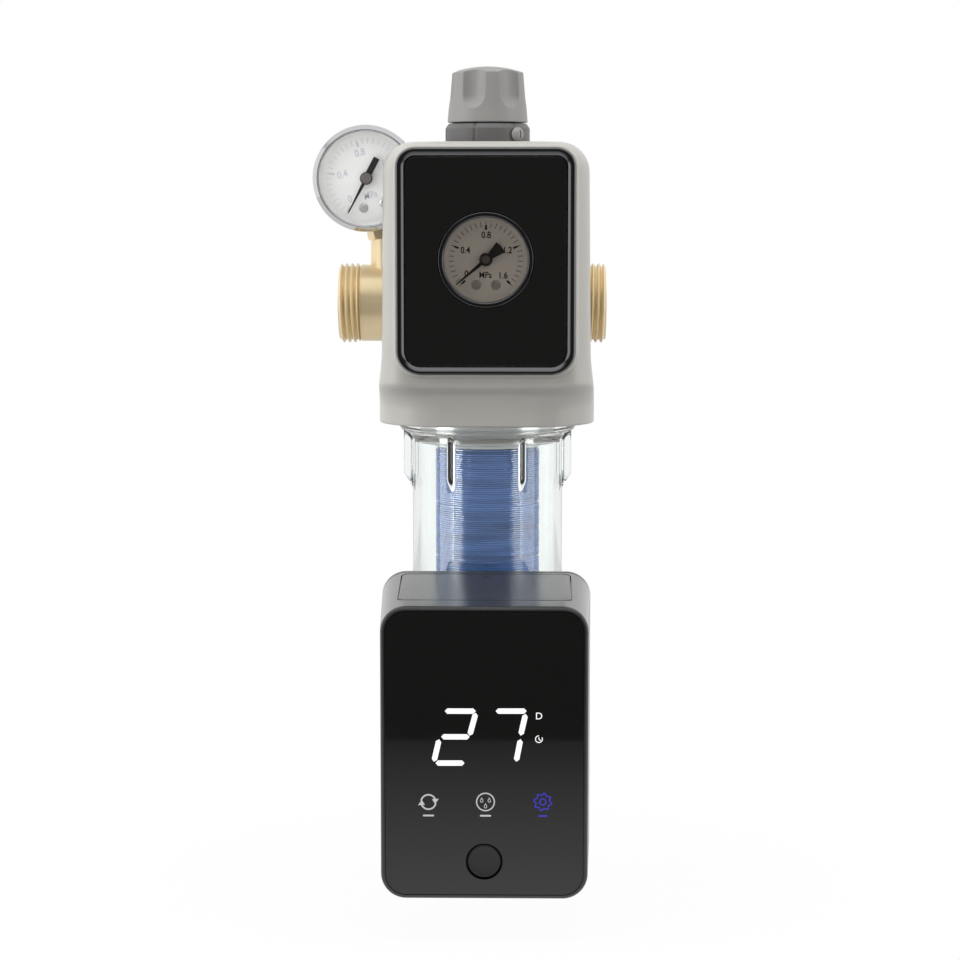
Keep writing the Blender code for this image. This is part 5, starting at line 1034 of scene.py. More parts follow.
@dataclass
class FrontPanel:
    """The glossy black panel and the smoked chrome bezel round it."""

    half: float = 35.7
    top: float = 63.7
    bottom: float = -26.5
    width: float = 3.2
    top_r: float = 7.5
    bottom_r: float = 9.6
    back_y: float = -52.3
    rim_y: float = -47.5
    front_y: float = -55.3
    panel_y: float = -54.7
    hole_r: float = 19.4

    def outline(self, inset: np.ndarray) -> np.ndarray:
        """The rounded outline in X and Z, drawn in by each inset."""
        inset = np.atleast_1d(inset)
        half = self.half - inset
        low, high = self.bottom_r - inset, self.top_r - inset
        return rounded_loops((-half, half), (self.bottom + inset, self.top - inset),
                             (low, low, high, high), 14)

    def swept(self, section: np.ndarray) -> Shape:
        """A section of insets and depths, swept round the outline."""
        return upright(list(zip(self.outline(section[:, 0]), section[:, 1])))

    def build(self) -> None:
        """Sweep the bezel and the housing's rolled rim round the panel, and cut the panel for its gauge."""
        section = eased([
            (0.0, self.back_y, 0.1), (0.0, self.front_y + 0.55, 0.3), (0.35, self.front_y + 0.1, 0.25),
            (0.75, self.front_y, 0.2), (1.3, self.front_y + 0.05, 0.15), (1.75, self.front_y + 0.22, 0.2),
            (2.2, self.front_y + 0.45, 0.2), (2.6, self.front_y + 0.7, 0.2), (3.1, self.front_y + 1.05, 0.1),
            (3.2, self.front_y + 1.2, 0.1), (3.2, self.back_y, 0.1),
        ], steps=5)
        made("bezel_band", self.swept(section), FINISHES.smoked_chrome, stands_for=("panel_bezel",),
             smooth_below=50.0)
        roll = eased([(0.05, self.rim_y, 0.1), (0.05, self.back_y - 1.6, 0.4), (-0.7, self.back_y - 1.4, 0.5),
                      (-1.5, self.back_y, 0.7), (-1.6, self.rim_y, 0.1)], steps=6)
        made("panel_rim", self.swept(roll), FINISHES.housing, smooth_below=50.0)
        insets = np.array([self.width + 0.3, self.width + 0.3, self.width + 0.4, self.width + 0.6])
        heights = np.array([self.back_y, self.panel_y + 0.3, self.panel_y + 0.08, self.panel_y])
        plate = lofted(self.outline(insets), heights, Along.Y)
        hole = rod(self.hole_r, self.panel_y - 1.0, self.back_y + 1.0, Along.Y, steps=160).moved(z=19.35)
        dress("panel_plate", carved("panel_plate", plate, ("DIFFERENCE", hole)), FINISHES.panel,
              stands_for=("front_panel",), weighted=True)


@dataclass
class Reducer:
    """The pressure reducer: the fluted knob, the bonnet with its collar, and the lock screw."""

    knob_low: float = 75.0
    knob_edge: float = 95.6
    knob_top: float = 98.2
    low_r: float = 16.7
    high_r: float = 15.1
    flutes: int = 6
    flute_r: float = 7.0
    flute_in: float = 2.8
    flute_low: float = 86.3
    flute_turn: float = 8.5
    collar_r: float = 17.6
    collar_low: float = 64.0
    collar_top: float = 72.6
    bonnet_top: float = 74.6
    grooves: int = 6
    groove_turn: float = -47.0

    def knob(self) -> Shape:
        """The knob, with flutes that are open at the top and round below.

        A point at angle a from a flute's middle lies no further out than D cos a - sqrt(f f - D D sin a
        sin a), where D is the flute's axis and f its radius at that height; below the flute's low
        point f is sqrt(F F - drop drop). The two radii meet in a soft minimum, which rounds the edge.
        """
        dome = [(r, self.knob_top - (self.knob_top - self.knob_edge) * (r / self.high_r) ** 2, 1.4)
                for r in (12.0, 9.0, 6.0, 3.0)]
        rows = eased([
            (0.0, 88.3, 0.0), (4.3, 88.3, 0.2), (4.3, self.knob_low, 0.2),
            (self.low_r - 0.2, self.knob_low, 0.5),
            (self.low_r, self.knob_low + 0.4, 0.5), (self.high_r, self.knob_edge, 0.5), *dome,
            (0.0, self.knob_top, 0.0),
        ], steps=7)
        rows = resampled(rows, 0.32)
        rows = rows[~((rows[:, 0] < 1e-4) & (rows[:, 1] > 88.4) & (rows[:, 1] < self.knob_top - 1e-3))]
        order = np.argsort(np.where(rows[:, 0] < 1e-4, rows[:, 1] > 90.0, False), kind="stable")
        rows = rows[order]
        angle = np.linspace(0.0, math.tau, 432, endpoint=False)
        step = math.tau / self.flutes
        off = (angle - math.radians(self.flute_turn) + step / 2) % step - step / 2
        share = (rows[:, 1] - self.knob_low) / (self.knob_edge - self.knob_low)
        axis = (self.low_r + (self.high_r - self.low_r) * share + self.flute_r - self.flute_in)[:, None]
        drop = np.clip(self.flute_low - rows[:, 1], 0.0, self.flute_r)
        reach = np.sqrt(self.flute_r ** 2 - drop ** 2)[:, None]
        under = reach ** 2 - (axis * np.sin(off)[None, :]) ** 2
        wall = np.where(under > 0.0, axis * np.cos(off)[None, :] - np.sqrt(np.clip(under, 0.0, None)), 60.0)
        wall = np.where(rows[:, 1][:, None] < self.flute_low - self.flute_r, 60.0, wall)
        radius = rows[:, 0][:, None]
        soft = 0.14
        gap = np.abs(radius - wall)
        cut = np.minimum(radius, wall) - soft * np.exp(-gap / soft) * np.log(2.0)
        radius = np.where(wall > 50.0, radius, np.where(radius < 9.0, radius, cut))
        return polar(radius, angle, rows[:, 1], closed_rows=False)

    def bonnet(self) -> Shape:
        """The bonnet, whose collar has shallow upright grooves: r = profile - 0.5 bell(angle)."""
        rows = resampled(eased([
            (12.7, 42.1, 0.3), (20.0, 42.1, 0.5), (20.0, 47.1, 0.5), (15.2, 49.1, 0.8), (15.2, 61.0, 1.0),
            (self.collar_r, self.collar_low, 0.8), (self.collar_r, self.collar_top, 0.5),
            (self.collar_r - 1.4, self.bonnet_top, 0.5), (4.4, self.bonnet_top, 0.2), (4.4, 64.0, 0.2),
            (12.7, 64.0, 0.5),
        ]), 1.2)
        angle = np.linspace(0.0, math.tau, 384, endpoint=False)
        step = math.tau / self.grooves
        off = np.abs((angle - math.radians(self.groove_turn) + step / 2) % step - step / 2) * self.collar_r
        bell = 1.0 - smooth((off - 0.35) / 0.4)
        outer = (rows[:, 0] > 15.6) & (rows[:, 1] > 63.0)
        radius = rows[:, 0][:, None] - 0.5 * bell[None, :] * outer[:, None]
        return polar(radius, angle, rows[:, 1])

    def build(self) -> None:
        """Make the knob, the bonnet and its lock screw."""
        made("fluted_knob", self.knob(), FINISHES.knob, "knob", ("pressure_knob",), 60.0)
        made("grooved_bonnet", self.bonnet(), FINISHES.bonnet, stands_for=("bonnet",), smooth_below=50.0)
        place = Matrix.Rotation(math.radians(self.groove_turn), 4, "Z")
        place = place @ Matrix.Translation((self.collar_r, 0.0, 69.9))
        dome = turned(eased([
            (0.0, -5.0, 0.0), (1.3, -5.0, 0.3), (1.3, 0.3, 0.1), (3.0, 0.3, 0.2), (3.0, 1.2, 0.9),
            (1.9, 2.5, 1.2), (0.0, 2.7, 0.0),
        ], steps=7), Along.X, 64)
        slot = box_shape((2.0, 3.2), (-0.28, 0.28), (-1.7, 1.7))
        screw = solid(dome, ("DIFFERENCE", slot)).placed(place)
        made("lock_screw_dome", screw, FINISHES.knob, stands_for=("bonnet_lock_screw",))


@dataclass
class Gauge:
    """A dial gauge; its sizes count back from its front plane, and its hub is the origin of its frame."""

    name: str
    hub: tuple
    tilt: float
    ring_r: float
    lip_r: float
    case_r: float
    depth: float
    needle_turn: float
    reach: float
    tail: float
    tail_half: float
    body: str
    window: Clear
    case: Finish
    rim: Finish
    ink: Finish
    fan_tail: bool
    scale: float
    hexagon_r: float

    @property
    def place(self) -> Matrix:
        """The gauge's frame on the product."""
        return Matrix.Translation(self.hub) @ Matrix.Rotation(math.radians(-self.tilt), 4, "Y")

    def add(self, part: str, shape: Shape, finish: Finish | Clear, node: str = "", body: str = ROOT,
            smooth_below: float = SMOOTH_BELOW) -> None:
        """Make one part in the gauge's frame."""
        stands_for = (f"{self.name}_{node}",) if node else ()
        made(f"{self.name}_{part}", shape.placed(self.place), finish, body, stands_for, smooth_below)

    def shell(self) -> None:
        """The ring, the case, the window and the dial, turned about the gauge's axis."""
        lip, ring, case = self.lip_r, self.ring_r, self.case_r
        shoulder, drop = (ring - 0.35, 0.35) if self.fan_tail else (lip + 0.75, 1.7)
        self.add("lens_ring", turned(eased([
            (lip, 0.35, 0.25), (lip + 0.5, 0.0, 0.2), (shoulder, 0.0, 0.2), (ring, drop, 0.3),
            (ring, 5.3, 0.3), (case + 0.3, 5.3, 0.1), (case + 0.3, 1.2, 0.1), (lip, 1.2, 0.1),
        ], steps=7), Along.Y, 192), self.rim, "ring")
        shell = turned(eased([
            (0.0, self.depth, 0.0), (case - 0.4, self.depth, 1.8), (case, self.depth - 2.0, 1.8),
            (case, 3.3, 0.2), (case - 1.2, 3.3, 0.2), (case - 1.2, self.depth - 1.5, 0.8),
            (0.0, self.depth - 1.5, 0.0),
        ], steps=8), Along.Y, 160)
        if self.fan_tail:
            hole = rod(4.5, self.depth - 3.0, self.depth + 1.0, Along.Y)
        else:
            hole = rod(4.5, -case - 1.0, -0.7 * case).moved(y=-self.hub[1])
        self.add("round_case", solid(shell, ("DIFFERENCE", hole)), self.case, "case")
        self.add("lens", turned(eased([
            (0.0, 1.5, 0.0), (case - 0.2, 1.5, 0.1), (case, 1.7, 0.1), (case, 3.0, 0.1), (0.0, 3.0, 0.0),
        ], steps=3), Along.Y, 160), self.window, "window")
        self.add("face", turned(eased([
            (1.2, 8.2, 0.0), (case - 3.2, 8.2, 0.4), (case - 2.2, 7.4, 0.5), (case - 1.5, 7.4, 0.2),
            (case - 1.5, 8.8, 0.1), (1.2, 8.8, 0.0),
        ]), Along.Y, 160), FINISHES.dial, "dial")

    def printing(self) -> Shape:
        """The ticks, the numerals and the unit, as thin ink on the dial.

        The tick at share s of the scale stands at 225 degrees plus 270 s, counted clockwise from
        the top, as a bar along the radius; every eighth has a broad inner half.
        """
        k = self.scale
        ink = []
        turns = np.radians(225.0 + 270.0 * np.arange(33) / 32)
        for index, turn in enumerate(turns):
            bars = [(0.13, 12.5, 14.5)]
            if index % 8 == 0:
                bars.append((0.42, 11.5, 13.3))
            for half, inner, outer in bars:
                bar = np.array([(-half, inner * k), (half, inner * k),
                                (0.8 * half, outer * k), (-0.8 * half, outer * k)])
                spun = np.stack([bar[:, 0] * math.cos(turn) + bar[:, 1] * math.sin(turn),
                                 bar[:, 1] * math.cos(turn) - bar[:, 0] * math.sin(turn)], axis=-1)
                ink.append(slab(spun, 8.14, 8.22))
        for text, x, z in (("0", -7.6, -5.6), ("0.4", -8.0, 3.5), ("0.8", 0.1, 9.4), ("1.2", 8.3, 3.5),
                           ("1.6", 6.6, -6.3)):
            ink.append(lettering(text, 3.6 * k, 0.08, 0.07 * k).moved(x * k, 8.18, z * k))
        ink.append(lettering("MPa", 3.4 * k, 0.08, 0.06 * k).moved(-0.2 * k, 8.18, -6.1 * k))
        return ink[0].joined(*ink[1:])

    def needle(self) -> Shape:
        """The pointer: a tapered blade, a fanned or straight tail, a domed hub and its shaft."""
        tail, half = self.tail, self.tail_half
        if self.fan_tail:
            fan = np.radians(np.linspace(-19.0, 19.0, 9))
            back = np.stack([-np.sin(fan) * tail, -np.cos(fan) * tail], axis=-1)
            blade = [(0.8, 0.0), (0.25, self.reach), (0.0, self.reach + 0.5), (-0.25, self.reach)]
            outline = np.concatenate([[(-0.8, 0.0)], back[::-1], blade])
        else:
            outline = np.array([(-0.75, 0.0), (-half, -2.0), (-half, -tail), (half, -tail), (half, -2.0),
                                (0.75, 0.0), (0.2, self.reach), (0.0, self.reach + 0.6), (-0.2, self.reach)])
        blade = slab(outline, 5.15, 5.65).placed(Matrix.Rotation(math.radians(self.needle_turn), 4, "Y"))
        hub = turned(eased([
            (0.0, 4.7, 0.0), (2.1, 4.7, 0.3), (2.6, 5.15, 0.3), (2.6, 6.15, 0.2), (0.8, 6.15, 0.1),
            (0.8, 12.8, 0.1), (0.0, 12.8, 0.0),
        ]), Along.Y, 64)
        return solid(blade, ("UNION", hub))

    def hub_cap(self) -> Shape:
        """The paler boss on the hub, with a rounded edge."""
        edge = 1.75 if self.fan_tail else 2.3
        return turned(eased([(0.0, 4.4, 0.0), (edge - 0.3, 4.45, 0.25), (edge, 4.72, 0.1), (0.0, 4.72, 0.0)]),
                      Along.Y, 64)

    def dial_screws(self) -> Shape:
        """The two small pan head screws that hold the dial."""
        screws = []
        for side in (-1, 1):
            head = turned(eased([(0.0, 7.2, 0.0), (0.9, 7.25, 0.6), (1.75, 7.6, 0.5), (1.95, 8.21, 0.05),
                                 (0.0, 8.21, 0.0)], steps=6), Along.Y, 48)
            spin = Matrix.Rotation(math.radians(35.0 * side), 4, "Y")
            arms = [box_shape(across, (6.0, 7.65), along).placed(spin)
                    for across, along in (((-1.1, 1.1), (-0.2, 0.2)), ((-0.2, 0.2), (-1.1, 1.1)))]
            head = solid(head, *[("DIFFERENCE", arm) for arm in arms])
            screws.append(head.moved(3.8 * self.scale * side, 0.0, -9.8 * self.scale))
        return screws[0].joined(screws[1])

    def stem(self) -> Shape:
        """The movement block, its neck, a hexagon with turned corners and a threaded stub."""
        block = box_shape((-6.0, 6.0), (9.1, 18.1), (-13.0, 4.0))
        corner = self.hexagon_r
        if self.fan_tail:
            low, high = self.depth + 0.3, -24.0 - self.hub[1] - 0.3
            along, middle = Along.Y, (0.0, 0.0)
            neck = rod(4.2, 17.1, low + 1.0, along)
        else:
            low, high = -25.3, -self.case_r - 0.3
            along, middle = Along.Z, (0.0, -self.hub[1])
            neck = rod(4.2, high - 1.0, -12.0).moved(y=middle[1])
        hexagon = turned(np.array([(0.0, low), (corner, low), (corner, high), (0.0, high)]), along, 6)
        guard = turned(eased([(0.0, low, 0.0), (0.93 * corner, low, 0.0), (corner + 0.1, low + 0.8, 0.3),
                              (corner + 0.1, high - 0.8, 0.3), (0.93 * corner, high, 0.0),
                              (0.0, high, 0.0)]), along)
        hexagon = solid(hexagon, ("INTERSECT", guard)).moved(y=middle[1])
        stub = (rod(5.0, high - 1.0, high + 7.7, along) if self.fan_tail else rod(5.0, low - 7.4, low + 1.0))
        bearing = rod(1.2, 8.0, 13.5, Along.Y, steps=32)
        return solid(block, ("UNION", neck), ("UNION", hexagon), ("UNION", stub.moved(y=middle[1])),
                     ("DIFFERENCE", bearing))

    def build(self) -> None:
        """Make every part of the gauge."""
        self.shell()
        self.add("print", self.printing(), self.ink)
        self.add("dial_screws", self.dial_screws(), FINISHES.nickel)
        self.add("pointer_blade", self.needle(), FINISHES.needle, "needle", self.body)
        self.add("hub_cap", self.hub_cap(), FINISHES.hub, body=self.body)
        inner, outer = self.case_r - 1.6, self.case_r - 1.25
        liner = [(inner, 3.35, 0.1), (outer, 3.35, 0.1), (outer, 7.3, 0.1), (inner, 7.3, 0.1)]
        self.add("liner", turned(eased(liner, steps=3), Along.Y, 160), FINISHES.pale)
        self.add("hexagon_stem", self.stem(), FINISHES.brass, "stem")


@dataclass
class Bowl:
    """The clear bowl with its six ribs, and the disc filter inside it."""

    top: float = -46.0
    flange_r: float = 37.0
    flange_low: float = -52.5
    wall_r: float = 31.6
    wall: float = 3.0
    floor: float = -163.0
    nozzle_low: float = -176.0
    rib_r: float = 35.4
    rib_width: float = 5.0
    rib_bend: float = -71.7
    rib_end: float = -77.6
    ribs: int = 6
    filter_r: float = 22.0
    filter_top: float = -60.0
    filter_low: float = -152.0
    discs: int = 104
    swell: float = 0.07

    def bowl(self) -> Shape:
        """The bowl: a turned wall whose radius grows at the ribs.

        The radius is wall + (rib(height) - wall) mask(angle), where rib is the rib's radius down to its
        bend and a straight slant below it, and mask is an eased step at each edge of the rib.
        """
        bore = self.wall_r - self.wall
        rows = resampled(eased([
            (31.1, self.top, 0.4), (self.flange_r, self.top, 0.8), (self.flange_r, self.flange_low, 0.9),
            (self.wall_r + 1.5, self.flange_low - 2.1, 1.2), (self.wall_r, self.flange_low - 4.5, 1.5),
            (self.wall_r, self.floor - self.wall, 13.0), (12.0, self.floor - self.wall, 1.5),
            (12.0, self.nozzle_low, 0.6), (8.0, self.nozzle_low, 0.4), (8.0, self.floor, 0.8),
            (bore, self.floor, 11.0), (bore, self.top - 2.8, 0.3), (31.1, self.top - 2.8, 0.2),
        ], steps=9), 1.1)
        half_turn = math.degrees(self.rib_width / 2 / (0.5 * (self.rib_r + self.wall_r)))
        edge = np.linspace(-1.6, 1.6, 9) + half_turn
        side = np.concatenate([np.linspace(0.0, half_turn - 2.0, 3), edge,
                               np.linspace(half_turn + 2.6, 30.0, 11)])
        sector = np.concatenate([-side[::-1], side[1:-1]])
        angle = np.radians((np.arange(self.ribs)[:, None] * 60.0 + sector[None, :]).ravel())
        mask = np.tile(1.0 - smooth((np.abs(sector) - half_turn + 1.6) / 3.2), self.ribs)
        height = rows[:, 1]
        slant = (self.rib_bend - height) / (self.rib_bend - self.rib_end)
        rib = self.rib_r + (self.wall_r - self.rib_r) * np.clip(slant, 0.0, 1.0)
        level_with_rib = (height < self.flange_low + 0.5) & (height > self.rib_end)
        outside = (rows[:, 0] > self.wall_r - 0.01) & level_with_rib
        gain = np.where(outside, np.clip(rib - rows[:, 0], 0.0, None), 0.0)
        radius = rows[:, 0][:, None] + gain[:, None] * mask[None, :]
        return polar(radius, angle, height)

    def stack(self) -> Shape:
        """The filter's discs: between two discs the radius falls in a narrow round groove.

        The radius is R - 0.5 (cos(turn)) to the power 8, with half a turn to a disc, less a deeper
        step at each of the four packs' ends, and each disc swells by a sine of nine turns.
        """
        height = np.linspace(self.filter_low, self.filter_top, 7 * self.discs + 1)
        share = (height - self.filter_low) / (self.filter_top - self.filter_low)
        groove = np.abs(np.cos(math.pi * self.discs * share)) ** 8
        uneven = 0.07 * np.sin(2.4 * np.floor(share * self.discs)) * (1.0 - groove)
        pack = (share * 4.0) % 1.0
        deep = 0.7 * ((pack > 0.965) | (share > 0.985))
        radius = self.filter_r - 0.06 - 0.5 * groove + uneven * 0.5 - deep
        inner = np.array([(10.0, self.filter_top), (10.0, self.filter_low)])
        rows = np.concatenate([np.stack([radius, height], axis=-1), inner])
        disc = np.concatenate([np.floor(share * self.discs), [0.0, 0.0]])
        angle = np.linspace(0.0, math.tau, 120, endpoint=False)
        swell = self.swell * np.sin(9.0 * angle[None, :] + (7.3 * disc * disc)[:, None])
        swell[-2:] = 0.0
        reach = rows[:, 0][:, None] + swell
        return polar(reach, angle, rows[:, 1])

    def build(self) -> None:
        """Make the bowl, its seal, the discs and both caps."""
        made("ribbed_bowl", self.bowl(), FINISHES.bowl, stands_for=("bowl",), smooth_below=40.0)
        ring = np.linspace(0.0, math.tau, 20, endpoint=False)
        section = np.stack([29.85 + 1.22 * np.cos(ring), -47.25 + 1.22 * np.sin(ring)], axis=-1)
        made("bowl_seal", turned(section, steps=160), FINISHES.rubber, stands_for=("bowl_o_ring",))
        made("disc_stack", self.stack(), FINISHES.discs, stands_for=("filter_discs",), smooth_below=50.0)
        cap_top = self.filter_top + 3.0
        made("filter_cap_upper", turned(eased([
            (6.5, -12.0, 0.3), (8.7, -12.0, 0.4), (8.7, cap_top, 0.6), (self.filter_r, cap_top, 0.8),
            (self.filter_r, self.filter_top + 0.3, 0.3), (6.5, self.filter_top + 0.3, 0.2),
        ]), steps=144), FINISHES.pale, stands_for=("filter_top_cap",))
        made("filter_cap_lower", turned(eased([
            (0.0, -155.3, 0.0), (11.0, -155.3, 0.3), (11.0, -162.7, 0.3), (14.0, -162.7, 0.4),
            (14.0, -155.3, 0.5),
            (self.filter_r, -155.3, 0.8), (self.filter_r, self.filter_low - 0.3, 0.3),
            (0.0, self.filter_low - 0.3, 0.0),
        ]), steps=144), FINISHES.pale, stands_for=("filter_bottom_cap",))


@dataclass
class DrainValve:
    """The ball valve under the bowl, its drain spout and its gear drive."""

    z: float = -193.0
    body_r: float = 15.5
    spout_low: float = -248.0
    drive: tuple = (("valve_ball", 0.15), ("valve_stem", 0.2), ("motor_pinion", 0.15), ("gearmotor", 0.3),
                    ("drive_plate", 0.2))

    def body(self) -> Shape:
        """The valve body with its boss, flange and bores."""
        shell = turned(eased([
            (12.3, -166.3, 0.2), (self.body_r, -166.3, 0.5), (self.body_r, -169.0, 0.2), (15.0, -169.6, 0.2),
            (15.0, -171.0, 0.2), (self.body_r, -171.6, 0.2), (self.body_r, self.z - 17.0, 0.5),
            (11.2, self.z - 17.0, 0.3), (11.2, self.z + 11.0, 0.3), (6.0, self.z + 11.0, 0.2),
            (6.0, -176.3, 0.2), (12.3, -176.3, 0.3),
        ]), steps=128)
        flange = rounded_loops((-20.0, 20.0), (self.z - 14.0, self.z + 14.0), (4.0, 4.0, 4.0, 4.0), 10)[0]
        plate = lofted(np.stack([flange * 1.0, flange, flange]), np.array([-33.7, -31.0, -29.7]), Along.Y)
        steps = [
            ("UNION", rod(9.0, -30.7, -12.2, Along.Y).moved(z=self.z)), ("UNION", plate),
            ("DIFFERENCE", rod(6.5, -34.7, -27.0, Along.Y).moved(z=self.z)),
            ("DIFFERENCE", rod(3.9, -28.0, -7.2, Along.Y).moved(z=self.z)),
        ]
        steps += [("DIFFERENCE", rod(1.8, -34.7, -28.7, Along.Y, steps=32).moved(x=x, z=z))
                  for x, z in ((-16.5, self.z + 10.5), (16.5, self.z - 10.5))]
        return solid(shell, *steps)

    def spout(self) -> Shape:
        """The drain spout, with a ribbed collar and three barbs."""
        barb = (-216.3 - self.spout_low) / 4.0
        rows = [(6.0, -204.0, 0.2), (10.9, -204.0, 0.3), (10.9, -210.3, 0.2), (15.5, -210.3, 0.4),
                (15.5, -216.3, 0.5), (8.6, -216.3, 0.5), (8.6, -216.3 - barb, 0.3)]
        for index in range(3):
            high = -216.3 - barb * (index + 1)
            rows += [(9.5, high, 0.25), (8.6, high - barb, 0.2)]
        rows += [(8.6, self.spout_low + 0.01, 0.2), (6.0, self.spout_low, 0.3)]
        profile = resampled(eased(rows), 1.0)
        angle = np.linspace(0.0, math.tau, 240, endpoint=False)
        collar = (profile[:, 0] > 15.0) & (profile[:, 1] < -210.6) & (profile[:, 1] > -216.0)
        knurl = 0.28 * (0.5 + 0.5 * np.cos(30.0 * angle)) ** 3
        radius = profile[:, 0][:, None] - knurl[None, :] * collar[:, None]
        return polar(radius, angle, profile[:, 1])

    def build(self) -> None:
        """Make the body and the spout, and refine the CAD solids of the drive."""
        dress("valve_casting", plain_mesh("valve_casting", self.body()), FINISHES.cast_brass,
              stands_for=("valve_body",), weighted=True)
        made("spout_barbed", self.spout(), FINISHES.bonnet, stands_for=("drain_spout",), smooth_below=40.0)
        for name, bevel in self.drive:
            refined(name, FINISHES.steel, bevel)
        refined("output_gear", FINISHES.pale, 0.15)
        for name in ("ball_seat_upper", "ball_seat_lower", "stem_seal"):
            refined(name, FINISHES.pale, 0.0)
        for index, (x, z) in enumerate(((-16.5, -182.5), (16.5, -203.5)), 1):
            place = Matrix.Translation((x, -37.0, z)) @ Matrix.Rotation(math.radians(90.0), 4, "X")
            made(f"flange_screw_{index}_cross", pan_screw(place, 2.5, 1.4, 1.5, 7.0), FINISHES.steel,
                 stands_for=(f"flange_screw_{index}",))


@dataclass
class Controller:
    """The flush controller: its two shells, glossy front, lit display, button, cover, cells and board."""

    back_y: float = -34.0
    front_y: float = -88.0
    top_back: float = -108.6
    slope: float = 0.1185
    bottom: float = -232.1
    half: float = 42.9
    draft: float = 0.037
    corner_r: float = 10.0
    edge_r: float = 1.6
    wall: float = 2.6
    seam_y: float = -36.7
    glass_y: float = -88.2
    glass_back: float = -86.3
    button_z: float = -216.8
    button_r: float = 6.9
    lid_half: float = 34.3
    lid_back: float = -39.5
    lid_front: float = -78.0
    lid_r: float = 3.0
    valve_z: float = -193.0

    @property
    def mark_depths(self) -> tuple:
        """The y of a mark's front and back, which stand just out of and just in the glass."""
        return self.glass_y - 0.03, self.glass_y + 0.02

    def top_at(self, y: np.ndarray) -> np.ndarray:
        """The height of the sloping top at a depth."""
        return self.top_back - self.slope * (self.back_y - y)

    def sections(self, y: np.ndarray, inset: np.ndarray) -> Shape:
        """The case's outline at each depth, drawn in by each inset, skinned and closed.

        The half width is half - draft times the way forward, the top follows the slope, and all
        four corners are arcs.
        """
        y, inset = np.broadcast_arrays(np.asarray(y, float), np.asarray(inset, float))
        half = self.half - self.draft * (self.back_y - y) - inset
        bend = np.maximum(self.corner_r - inset, 0.5)
        loops = rounded_loops((-half, half), (self.bottom + inset, self.top_at(y) - inset), (bend,) * 4, 14)
        return lofted(loops, y, Along.Y)

    def glass_outline(self, inset: float) -> np.ndarray:
        """The outline of the glossy front, drawn in by an inset."""
        draw = self.edge_r + inset
        half = self.half - self.draft * (self.back_y - self.front_y) - draw
        bend = self.corner_r - draw
        top = float(self.top_at(self.front_y)) - draw
        return rounded_loops((-half, half), (self.bottom + draw, top), (bend,) * 4, 14)[0]

    def lid_form(self, grow: float, high: float, low: float) -> Shape:
        """A rounded slab that follows the slope, between two depths below it."""
        half = self.lid_half + grow
        loop = rounded_loops((-half, half), (self.lid_front - grow, self.lid_back + grow),
                             (self.lid_r + grow,) * 4, 8)[0]
        depths = np.linspace(low, high, 2)
        level = self.top_at(loop[:, 1])[None, :] - depths[:, None]
        points = np.stack([np.broadcast_to(loop[:, 0], level.shape), np.broadcast_to(loop[:, 1], level.shape),
                           level], axis=-1)
        return capped(grid(points), 2, len(loop))

    def lid(self) -> Shape:
        """The battery cover: a softly edged slab with a grip recess and a plug below."""
        inset = np.array([0.0, 0.0, 0.12, 0.4])
        depth = np.array([1.3, 0.4, 0.12, 0.0])
        half = self.lid_half - inset
        loops = rounded_loops((-half, half), (self.lid_front + inset, self.lid_back - inset),
                              (self.lid_r - inset,) * 4, 8)
        level = self.top_at(loops[..., 1]) - depth[:, None]
        slab_shape = capped(grid(np.concatenate([loops, level[..., None]], axis=-1)), *loops.shape[:2])
        arrow = np.array([(-2.2, -46.5), (2.2, -46.5), (0.0, -43.0)])
        level = self.top_at(arrow[:, 1])[None, :] + np.array([[-0.25], [1.0]])
        points = np.stack([np.broadcast_to(arrow[:, 0], level.shape), np.broadcast_to(arrow[:, 1], level.shape),
                           level], axis=-1)
        mark = capped(grid(points), 2, 3)
        return solid(slab_shape, ("UNION", self.lid_form(-2.1, 0.6, 2.4)), ("DIFFERENCE", mark))

    def front_shell(self) -> Shape:
        """The front shell with its recess for the glass, its windows, the cover's opening and posts."""
        arc = np.linspace(0.0, math.pi / 2, 10)
        y = np.concatenate([[self.seam_y - 0.3, self.seam_y - 0.45, self.seam_y - 0.8],
                            self.front_y + self.edge_r * (1 - np.sin(arc))])
        inset = np.concatenate([[0.25, 0.08, 0.0], self.edge_r * (1 - np.cos(arc))])
        through = (-86.6, -83.3)
        window = rounded_loops((-26.5, 26.5), (-200.0, -152.0), (1.0,) * 4, 4)[0]
        steps = [
            ("DIFFERENCE", self.sections([self.seam_y + 0.7, -84.4], [self.wall] * 2)),
            ("DIFFERENCE", slab(self.glass_outline(0.0), self.front_y - 1.0, -86.0)),
            ("DIFFERENCE", slab(window, *through)),
            ("DIFFERENCE", rod(self.button_r + 0.4, *through, Along.Y).moved(z=self.button_z)),
            ("DIFFERENCE", self.lid_form(0.4, -2.0, 1.6)),
            ("DIFFERENCE", self.lid_form(-1.4, -1.0, 5.2)),
        ]
        steps += [("UNION", rod(2.5, -85.2, -80.2, Along.Y, steps=32).moved(x=x, z=z))
                  for x in (-25.0, 25.0) for z in (-133.0, -220.0)]
        return solid(self.sections(y, inset), *steps)

